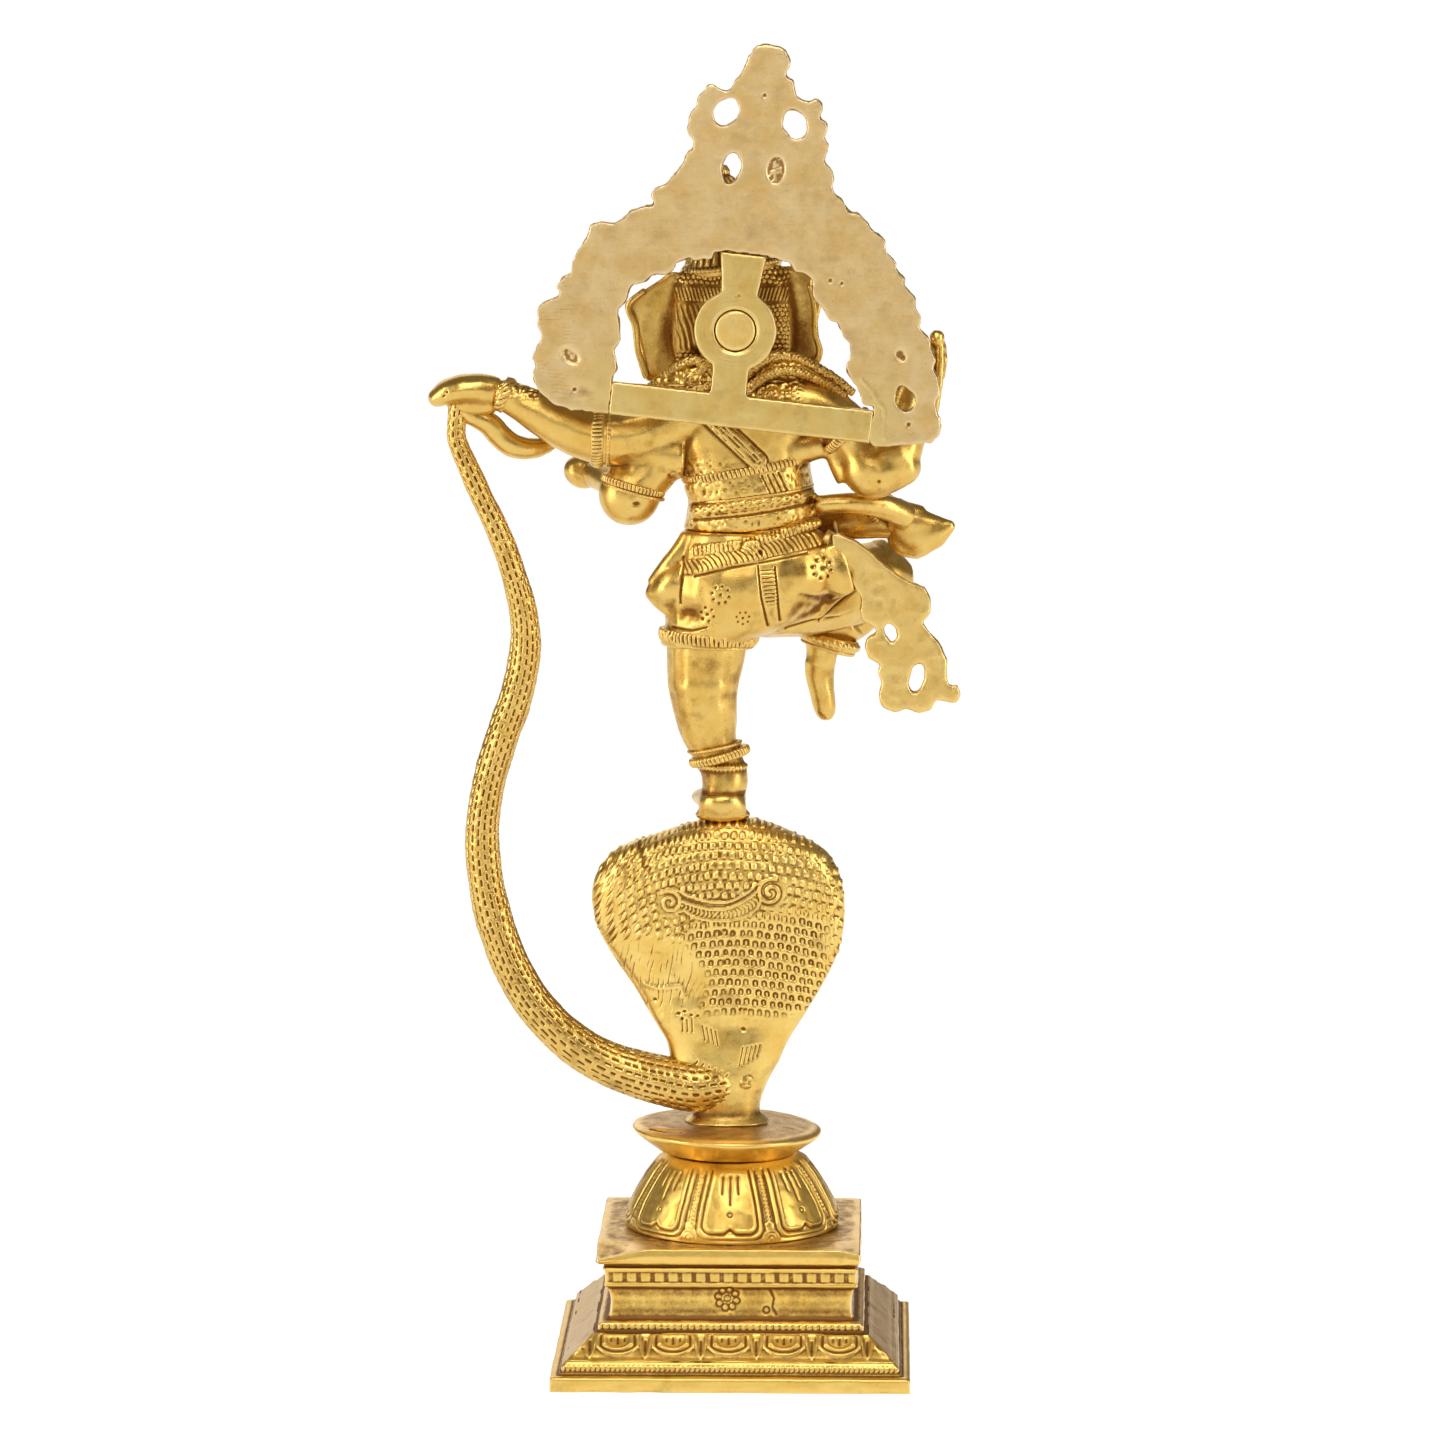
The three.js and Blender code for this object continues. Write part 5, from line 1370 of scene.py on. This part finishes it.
def garland(name, stations, leaf=1.25, depth=0.4):
    """A soft cord of small overlapping leaves."""
    length = sum(math.dist(a[:3], b[:3]) for a, b in zip(stations[:-1], stations[1:]))
    grid, spread, along = tube_grid(stations, int(length / 0.22), 60)
    angle = circle(60)[None, :]
    row = along[:, None] + 0.35 * np.cos(angle * 3)
    across = np.abs(np.sin(angle * 4 + np.floor(row / leaf) * 1.5))
    leaves = np.sqrt(1 - (row / leaf) % 1) * (0.5 + 0.5 * across)
    grid = grid + spread * (depth * (leaves - 0.55) + 0.25 * lumps(grid, 1.2))[..., None]
    return add_piece(name, marked(name, grid), TRIM)


garland("garland_upper", [(-3, 10.5, 341.5, 1.6), (-6.4, 13.0, 345.4, 1.9), (-11.0, 13.6, 349.2, 2.0),
                          (-16.0, 13.2, 350.2, 2.0), (-21.6, 12.4, 349.6, 1.9), (-27.4, 11.4, 346.8, 1.8),
                          (-34.6, 10.0, 342.4, 1.7), (-41.0, 8.0, 337.2, 1.4)])
garland("garland_lower", [(-3, 12.0, 336.5, 1.4), (-7.4, 14.6, 341.0, 1.6), (-13.0, 15.2, 344.6, 1.7),
                          (-18.6, 14.6, 345.4, 1.7), (-25.0, 13.6, 344.0, 1.6), (-32.0, 12.4, 340.6, 1.5),
                          (-38.0, 10.6, 336.4, 1.3)])
garland("garland_left", [(29.5, 6.5, 338.5, 1.3), (24.4, 9.2, 342.6, 1.7), (18.6, 11.2, 346.8, 1.8),
                         (13.2, 12.0, 348.6, 1.8), (8.4, 12.4, 346.4, 1.7), (5.0, 11.4, 342.0, 1.4)])
garland("garland_neck", [(25.0, 9.8, 336.4, 1.2), (19.0, 12.0, 339.2, 1.4), (13.0, 13.0, 343.6, 1.5),
                         (9.2, 12.6, 347.2, 1.4), (6.6, 11.0, 351.6, 1.2)])


def crown():
    """A stepped crown of beaded tiers with a bud on top, leaning a little to the left."""
    low, high = box_mm("crown")
    foot = np.array([0.6, -5.0, low[2] + 1.6])
    tall = high[2] - foot[2]
    profile = [(0.05, -1), (16.6, -1), (17.6, 1.4), (16.4, 3.0), (14.6, 5.4), (13.4, 8.2), (14.4, 9.8),
               (13.4, 11.6), (11.4, 14.2), (10.0, 17.2), (11.0, 18.8), (10.0, 20.4), (8.0, 22.8), (6.3, 25.2),
               (7.2, 26.8), (6.2, 28.4), (4.2, 30.4), (2.6, 32.0), (3.4, 33.6), (2.4, tall - 1), (0.05, tall)]
    rows = profile_rows(profile[1:-1], 0.36, 3)
    rows = np.vstack([profile[0], rows, profile[-1]])
    grid = round_rings(rows, 300)
    normal = grid_normals(grid)
    angle = circle(300)[None, :]
    r, z = rows[:, :1], rows[:, 1:2]
    height = np.zeros(grid.shape[:2])
    for ring_z, count in ((1.4, 66), (9.8, 54), (18.8, 42), (26.8, 26)):
        u = fold(angle, 2 * math.pi / count) * r
        height += 0.6 * dome(np.hypot(u, z - ring_z), 0.9) - 0.3 * bell(z - ring_z, 1.2)
        petal = np.abs(np.sin(angle * count / 4))
        height += 0.7 * petal * bell(z - ring_z - 4.0, 1.8)
    grid = grid + normal * (height + 0.1 * lumps(grid, 3.0))[..., None]
    x, z = turned(grid[..., 0], grid[..., 2], math.radians(7))
    return marked("crown_tiers", np.stack([x, grid[..., 1], z], axis=-1) + foot, soot=0.2)


add_piece("crown_tiers", crown(), TRIM, ["crown"])


# ---------- hands and what they hold ----------
def fingers(base, tip, spread, width, curl, count=4):
    """Rods side by side from base to tip. spread is the step from one finger to the next."""
    base, tip, spread, curl = (np.asarray(v, float) for v in (base, tip, spread, curl))
    made = []
    for i in range(count):
        off = spread * (i - (count - 1) / 2)
        short = 1 - 0.10 * abs(i - 1.4)
        middle = base + (tip - base) * 0.55 * short + off + curl * 0.25
        end = base + (tip - base) * short + off * 0.8 + curl
        made.append(rod((*(base + off), width), (*middle, width * 0.97), (*end, width * 0.8)))
    return made


# Each hand's CAD node, how far its solid swells, and what is melted onto it
HANDS = {
    "hand_tail": ("left_rear_hand", 0.7, [
        *fingers((86, 5.4, 340.0), (102.0, 5, 336.4), (0, -3.0, 0.3), 2.3, (0.2, -1.0, -2.4)),
        egg((97.0, 5.6, 337.6), (6.6, 5.0, 4.6), 14),
        egg((88, 6.0, 338.4), (8.6, 5.8, 4.4), 8), egg((89.0, 4.8, 332.6), (8.6, 4.8, 4.0), -4),
    ]),
    "hand_axe": ("right_rear_hand", 0.2, [
        *fingers((-65, 3.5, 344.6), (-58.5, 4.5, 343.6), (0.2, 0, -2.3), 1.5, (0.6, -2.0, 0)),
        egg((-62.4, 1.4, 340.4), (4.6, 4.6, 5.4)),
    ]),
    "hand_sweet": ("left_front_hand", 0.2, [
        *fingers((52, -28, 307.6), (54, -38.5, 309.0), (2.4, 0, 0.2), 1.4, (0, -1, 1.6)),
        egg((52.6, -30, 309.6), (4.2, 4.2, 3.2)), egg((53.4, -24.5, 307.0), (6.8, 6.0, 5.8), -25),
    ]),
    "hand_cup": ("right_front_hand", 0.2, [
        egg((-62, -13.4, 286.8), (9.4, 5.6, 8.7), 12),
        rod((-53, -13, 292.4, 5.4), (-62.5, -13, 290.6, 5.6), (-69.5, -13.4, 290.0, 3.6),
            (-75.4, -13.6, 289.9, 1.5)),
        *fingers((-62, -16.5, 284.5), (-73.4, -18, 287.6), (0.2, 0.6, 1.8), 1.6, (-0.2, -0.6, 1.0)),
    ]),
}


def hand_relief(p, n):
    """Two small pits on the back of the hand that holds the tail."""
    height = np.zeros(len(p))
    for x, z in ((98.0, 337.8), (99.0, 336.3)):
        height -= 0.8 * bell(np.hypot(p[:, 0] - x, p[:, 2] - z), 0.5) * (n[:, 1] > 0)
    return height


for name, (node, swell, extra) in HANDS.items():
    cast_piece(name, [solid_of(node, swell), *extra], hand_relief, [node], voxel=0.34, rounds=34, rough=0.08)
cast_piece("axe", [
    solid_of("battle_axe", 0.1), egg((-69.6, -0.6, 355.6), (2.7, 2.6, 2.8)),
    rod((-68.4, -0.4, 357.2, 1.2), (-70.4, -0.4, 355.4, 1.5), (-70.8, -0.4, 349, 1.5),
        (-70.4, -0.4, 341, 1.5), (-69.4, -0.4, 333, 1.5), (-67.4, -0.4, 325.5, 1.4)),
    rod((-62, -1.6, 338, 2.2), (-66.0, -1.2, 334, 2.0), (-69.8, -0.6, 333.5, 1.4)),
], lambda p, n: 0.15 * lumps(p, 1.6), ["battle_axe"], voxel=0.32, rounds=16, rough=0.08)


# ---------- the pierced sash end ----------
def sash_relief(p, n):
    """A filed back, a rough rim, and rings of folds on the front."""
    rim = 1 - step(0.3, 0.7, np.abs(n[:, 1]))
    front = step(0.5, 0.9, -n[:, 1])
    height = rim * 0.25 * lumps(p, 2.4) - step(0.8, 0.95, n[:, 1]) * 0.22 * np.abs(lumps(p, 5.0))
    veins = np.hypot(p[:, 0] + 62, p[:, 2] - 248)
    return height + front * (0.5 * np.abs(np.sin(veins * 0.9)) - 0.3)


# The flat flap between the hip and the scroll, in (x, z)
FLAP = [(-34.0, 289.0), (-37.6, 288.2), (-41.7, 286.6), (-46.7, 283.2), (-50.4, 278.2), (-54.8, 274.8),
        (-59.8, 272.6), (-63.6, 271.2), (-66.2, 269.0), (-67.0, 266.0), (-66.8, 262.8), (-64.8, 260.4),
        (-60.0, 261.4), (-56.0, 262.6), (-51.1, 261.4), (-47.4, 258.6), (-44.4, 259.6), (-43.4, 262.6),
        (-45.0, 265.6), (-42.6, 269.3), (-41.2, 276.5), (-38.4, 281.0), (-34.0, 283.0)]
SASH_BACK = box_mm("sash_scroll")[1][1]
cast_piece("sash_end", [
    solid_of("sash_scroll", 0.6), plate([FLAP], SASH_BACK + 0.6, 6.0),
    rod((-31, 1.0, 286, 4.4), (-38, 3.0, 283, 3.6), (-45, 4.0, 277, 3.0)),
], sash_relief, ["sash_scroll"], voxel=0.4, rounds=16, rough=0.05, material=SASH)


# ---------- the aureole ----------
PEG_LOW, PEG_HIGH = box_mm("aureole_peg")
PEG_X, PEG_Z = (PEG_LOW[0] + PEG_HIGH[0]) / 2, (PEG_LOW[2] + PEG_HIGH[2]) / 2
PLATE_BACK = box_mm("aureole_arch")[1][1]
TILT = math.radians(-6.4)
# The plate's outline and its holes, in mm across and up from the peg, with the plate level
ARCH_OUTER = [
    (39.6, -32.8), (47.0, -32.6), (54.1, -32.7), (58.0, -31.6), (61.3, -29.6), (64.6, -26.8), (66.5, -22.7),
    (66.0, -19.4), (67.4, -17.0), (66.8, -13.7), (65.2, -10.2), (66.4, -6.1), (67.4, -1.2), (66.0, 2.0),
    (60.7, 5.1), (61.6, 8.2), (60.5, 10.8), (57.4, 13.0), (57.6, 16.1), (56.6, 20.6), (53.6, 25.4),
    (52.6, 29.4), (49.2, 31.6), (45.4, 31.4), (42.6, 33.2), (38.0, 37.4), (32.3, 39.1), (33.0, 42.0),
    (32.3, 44.8), (29.0, 46.4), (27.1, 49.2), (23.9, 53.9), (22.9, 58.4), (21.0, 59.2), (21.6, 62.4),
    (23.7, 65.2), (23.4, 70.3), (21.7, 73.6), (21.2, 77.0), (19.5, 79.4), (17.6, 81.6), (15.0, 80.5),
    (11.8, 80.3), (9.6, 83.6), (7.5, 87.0), (5.6, 92.2), (4.2, 96.1), (-0.1, 97.0), (-5.6, 96.1),
    (-8.6, 92.4), (-8.0, 89.6), (-7.6, 87.4), (-10.2, 85.9), (-10.8, 83.0), (-12.6, 80.5), (-16.0, 79.6),
    (-18.9, 80.8), (-21.0, 77.7), (-20.2, 74.5), (-22.6, 73.0), (-23.2, 70.5), (-22.8, 68.0), (-24.4, 65.6),
    (-23.7, 60.5), (-26.4, 57.4), (-27.5, 54.7), (-27.1, 51.0), (-30.4, 48.4), (-33.6, 44.7), (-37.4, 43.6),
    (-40.3, 41.7), (-42.6, 38.4), (-45.8, 36.9), (-47.6, 32.6), (-50.9, 29.8), (-52.1, 26.1), (-54.6, 24.4),
    (-55.2, 21.4), (-58.8, 18.4), (-59.8, 14.4), (-62.0, 12.0), (-61.8, 8.3), (-65.0, 5.2), (-66.4, 1.4),
    (-68.6, -2.1), (-68.4, -5.4), (-70.2, -8.5), (-71.2, -13.3), (-70.2, -16.6), (-71.4, -19.7),
    (-72.9, -24.5), (-72.3, -27.7), (-70.0, -29.9), (-66.0, -31.2), (-60.0, -32.2), (-49.6, -32.8),
]
ARCH_INNER = [
    (-49.6, -21.0), (-46.6, -20.0), (-44.8, -18.0), (-43.6, -14.6), (-40.8, -11.8), (-38.8, -8.0),
    (-39.8, -4.4), (-39.0, -0.6), (-36.2, 2.4), (-34.2, 6.4), (-31.0, 8.0), (-28.6, 11.0), (-26.0, 12.6),
    (-24.6, 15.6), (-24.4, 19.0), (-22.0, 21.4), (-18.4, 22.0), (-16.0, 24.6), (-12.0, 25.0), (-8.4, 26.4),
    (8.4, 26.2), (10.6, 23.6), (13.4, 23.4), (15.6, 22.0), (18.6, 22.6), (22.0, 20.8), (23.2, 18.0),
    (26.0, 16.2), (29.8, 15.4), (32.6, 12.8), (36.4, 11.4), (37.8, 8.2), (38.4, 5.0), (40.0, 1.8),
    (39.2, -2.6), (38.6, -6.8), (40.0, -12.0), (38.6, -17.0), (39.6, -21.8),
]


def plate_place(p):
    """Points in the level frame of the hanging plate, from its peg: across and up."""
    x, z = p[:, 0] - PEG_X, p[:, 2] - PEG_Z
    return turned(x, z, -TILT)


def plate_hang(outline):
    """An outline in the level frame, put where it hangs."""
    x, z = turned(*np.asarray(outline, float).T, TILT)
    return np.stack([PEG_X + x, PEG_Z + z], axis=1)


def ragged(outline, pitch=0.9, rough=0.35):
    """A closed outline, smoothed through its points and nibbled by the file."""
    closed_line = [*outline, outline[0]]
    length = sum(math.dist(a, b) for a, b in zip(closed_line[:-1], closed_line[1:]))
    line = smooth_line(closed_line, int(length / pitch))[:-1]
    out = np.stack([np.gradient(line[:, 1]), -np.gradient(line[:, 0])], axis=1)
    out /= np.linalg.norm(out, axis=1, keepdims=True)
    return line + out * (rough * lumps_2d(line[:, 0], line[:, 1], 2.0))[:, None]


def teardrop(u, w, wide, tall, turn, point):
    """An oval hole, drawn out at the top by point, turned by some radians."""
    a = circle(36)
    x = wide * np.sin(a) * (1 - point * np.clip(np.cos(a), 0, 1))
    x, z = turned(x, tall * np.cos(a), turn)
    return np.stack([u + x, w + z], axis=1)


# Three holes at the top and one at the right foot, and the line of (x, z) of the soldered joint
ARCH_HOLES = [teardrop(11.2, 73.1, 4.0, 5.2, -0.62, 0.1), teardrop(-12.2, 71.4, 4.0, 5.2, 0.5, 0.1),
              teardrop(7.4, 54.4, 3.3, 5.3, math.pi - 0.1, 0.3), teardrop(-59.6, -16.3, 3.3, 4.5, 0.45, 0.4)]
SEAM = [(-43.6, 343.8), (-45.6, 341.0), (-47.3, 339.4), (-49.0, 336.4), (-51.6, 333.5), (-51.2, 329.0),
        (-51.6, 323.6)]


def arch_relief(p, n):
    """The back's pits, file strokes and solder seam, and the leaves of flame on the front."""
    u, w = plate_place(p)
    rim = 1 - step(0.25, 0.7, np.abs(n[:, 1]))
    back = step(0.7, 0.95, n[:, 1])
    front = step(0.4, 0.8, -n[:, 1])
    height = rim * (0.45 * lumps(p, 2.6) + 0.2 * lumps(p, 1.2))
    height += back * (0.42 * lumps(p, 18.0, 2.0) + 0.12 * lumps(p, 5.0))
    dimple = np.hypot((u + 7.6) / 0.66, w - 55.5)
    height -= back * (1.4 * step(4.9, 3.6, dimple) - 0.9 * np.abs(lumps(p, 1.1)) * (dimple < 4))
    dimple = np.hypot((u - 54.7) / 1.0, (w + 14.8) / 0.7 - 0.5 * (u - 54.7))
    height -= back * (1.2 * step(4.2, 1.6, dimple) - 0.6 * np.abs(lumps(p, 1.5)) * (dimple < 3))
    height -= back * 0.6 * bell(np.hypot((u - 49.5) / 1.8, (w + 26.4) / 1.2), 2.4)
    for pu, pw, reach in ((-56.3, -1.8, 1.3), (-57.6, -2.8, 0.7), (-30.0, 20.5, 0.5), (-34.0, 20.0, 0.4),
                          (52, -26, 0.5), (-62.0, -25.0, 0.6), (-1.0, 80.0, 0.5), (-40, -29.5, 0.7)):
        height -= back * 1.3 * bell(np.hypot(u - pu, w - pw), reach)
    # file strokes across the left foot of the arch, and the raised solder seam at its right foot
    level = fold(w + 0.12 * u + 0.8 * lumps(p, 5.0), 1.3)
    height -= back * 0.09 * bell(level, 0.3) * step(50, 58, u) * step(-0.3, 0.5, lumps(p, 4.0))
    seam, _ = near_line(p[:, 0], p[:, 2], SEAM)
    height += back * 0.32 * bell(seam, 0.5) * step(-0.8, 0.3, lumps(p, 2.5))
    # the leaves of flame fan out from the peg
    angle, reach = np.arctan2(w - 5, u), np.hypot(u, w - 5)
    leaf = np.abs(np.sin(angle * 15 + 0.10 * reach))
    height += front * (0.75 * leaf ** 0.7 - 0.45 + 0.25 * np.abs(np.sin(reach * 0.45)))
    return height


def arch_worn(p, n):
    """How much the arch takes on the bracket's greener tone, close to the bar."""
    u, w = plate_place(p)
    ends = np.minimum(np.abs(u - 40), np.abs(u + 50))
    return step(16, 1, np.hypot(ends, np.maximum(np.abs(w + 27) - 6, 0))) * 0.8


def arch_soot(p, n):
    """Dark walls in the pierced holes, and the bright broken floors of the two blind ones."""
    u, w = plate_place(p)
    wall = step(0.8, 0.4, np.abs(n[:, 1]))
    hole = np.minimum(np.hypot(u - 7.4, w - 54.4), np.hypot(u + 59.6, w + 16.3))
    dark = wall * 0.45 * step(8.5, 6.5, hole)
    bright = step(5.0, 3.5, np.hypot((u + 7.6) / 0.66, w - 55.5))
    bright += step(5.0, 3.5, np.hypot(u - 54.7, w + 14.8))
    return dark - 0.5 * bright


ARCH_PLATE = plate([plate_hang(ragged([*ARCH_OUTER, *ARCH_INNER])),
                    *(plate_hang(hole) for hole in ARCH_HOLES)], PLATE_BACK + 0.05, 5.5)
cast_piece("flame_arch", [ARCH_PLATE], arch_relief, ["aureole_arch"], voxel=0.5, rounds=4, rough=0.03,
           material=FILED, body="aureole", worn=arch_worn, soot=arch_soot)


def bracket_relief(p, n):
    """Soft file marks, turned lines on the ring, and a flat bearing round the peg."""
    u, w = plate_place(p)
    back = step(0.7, 0.95, n[:, 1])
    rim = 1 - step(0.25, 0.7, np.abs(n[:, 1]))
    reach = np.hypot(u, w)
    height = back * (0.14 * lumps(p, 9.0) + 0.06 * lumps(p, 3.0)) + rim * 0.16 * lumps(p, 3.0)
    height -= back * 0.02 * np.sin(reach * 5.0 + 2 * lumps(p, 4.0)) * step(14, 13, reach)
    height *= step(7.6, 8.4, reach)
    height -= back * 0.25 * bell(reach - 7.6, 0.4)
    height -= back * 0.35 * bell(np.hypot(u, w - 12.0), 0.7)
    seam, _ = near_line(p[:, 0], p[:, 2], SEAM)
    return height + back * 0.3 * bell(seam, 0.5)


cast_piece("hanging_bracket", [solid_of("aureole_bracket", 0.2)], bracket_relief, ["aureole_bracket"],
           voxel=0.4, rounds=5, rough=0.0, material=BRACKET, body="aureole")


def peg():
    """The round peg on the back of the head, with a shoulder in front of the ring."""
    start, end = PEG_LOW[1], PEG_HIGH[1]
    profile = [(0.05, start), (10.0, start), (10.0, 24.4), (9.7, 24.7), (7.1, 24.7), (6.9, 28.6),
               (6.5, end - 0.1), (5.6, end + 0.1), (3.0, end + 0.2), (0.05, end + 0.25)]
    rows = profile_rows(profile, 0.35, 1)
    grid = round_rings(rows, 150)
    normal = grid_normals(grid)
    height = lumps(grid, 3.0) * 0.1 * (rows[:, 1:2] > 28.7) - 0.05
    grid = grid + normal * height[..., None]
    return marked("peg", np.stack([grid[..., 0] + PEG_X, grid[..., 2], PEG_Z - grid[..., 1]], axis=-1))


add_piece("peg", peg(), SASH, ["aureole_peg"])


# ---------- camera, lights, floor ----------
def stage():
    """A plain pale floor and a dim, warm surround."""
    floor = bpy.data.meshes.new("floor")
    half = 45.0
    floor.from_pydata([(-half, -half, 0), (half, -half, 0), (half, half, 0), (-half, half, 0)], [],
                      [(0, 1, 2, 3)])
    floor_object = bpy.data.objects.new("floor", floor)
    bpy.context.scene.collection.objects.link(floor_object)
    white = bpy.data.materials.new("floor_white")
    white.use_nodes = True
    shader = white.node_tree.nodes["Principled BSDF"]
    shader.inputs["Base Color"].default_value = (0.15, 0.15, 0.15, 1)
    shader.inputs["Roughness"].default_value = 0.9
    shader.inputs["Emission Color"].default_value = (1, 1, 1, 1)
    shader.inputs["Emission Strength"].default_value = 1.0
    floor.materials.append(white)

    world = bpy.data.worlds.new("studio")
    world.use_nodes = True
    world.node_tree.nodes["Background"].inputs["Color"].default_value = (1.0, 0.84, 0.60, 1)
    world.node_tree.nodes["Background"].inputs["Strength"].default_value = 0.22
    bpy.context.scene.world = world


def soft_light(name, place, target, size, power):
    """A rectangular lamp that faces the target. size is in metres, power in watts."""
    data = bpy.data.lights.new(name, "AREA")
    data.shape = "RECTANGLE"
    data.size, data.size_y = size
    data.energy = power
    light = bpy.data.objects.new(name, data)
    light.location = place
    light.rotation_euler = (Vector(target) - Vector(place)).to_track_quat("-Z", "Y").to_euler()
    bpy.context.scene.collection.objects.link(light)


def camera():
    """Behind the statue, a little above its middle, and far off, as for a product picture."""
    middle = Vector(CENTRE.tolist())
    data = bpy.data.cameras.new("camera")
    data.lens = 161.9
    data.sensor_width = 36.0
    view = bpy.data.objects.new("camera", data)
    view.location = middle + Vector((-0.050514, 2.226938, 0.515718))
    target = middle + Vector((0.003917, -0.000223, 0.222419))
    view.rotation_euler = (target - view.location).to_track_quat("-Z", "Y").to_euler()
    bpy.context.scene.collection.objects.link(view)
    bpy.context.scene.camera = view


stage()
camera()
AIM = (CENTRE[0], 0, 0.22)
soft_light("left_box", (1.1, 0.55, 0.6), AIM, (0.42, 1.2), 7.0)
soft_light("right_box", (-1.15, 0.5, 0.6), AIM, (0.38, 1.1), 5.4)
soft_light("top_box", (-0.1, 0.85, 1.4), AIM, (1.0, 0.6), 8.0)
soft_light("front_fill", (0.3, -1.5, 0.8), AIM, (1.2, 1.2), 4.6)
soft_light("rear_fill", (0.35, 2.3, 1.35), AIM, (1.2, 0.7), 6.4)
bpy.context.scene.view_settings.view_transform = "Standard"
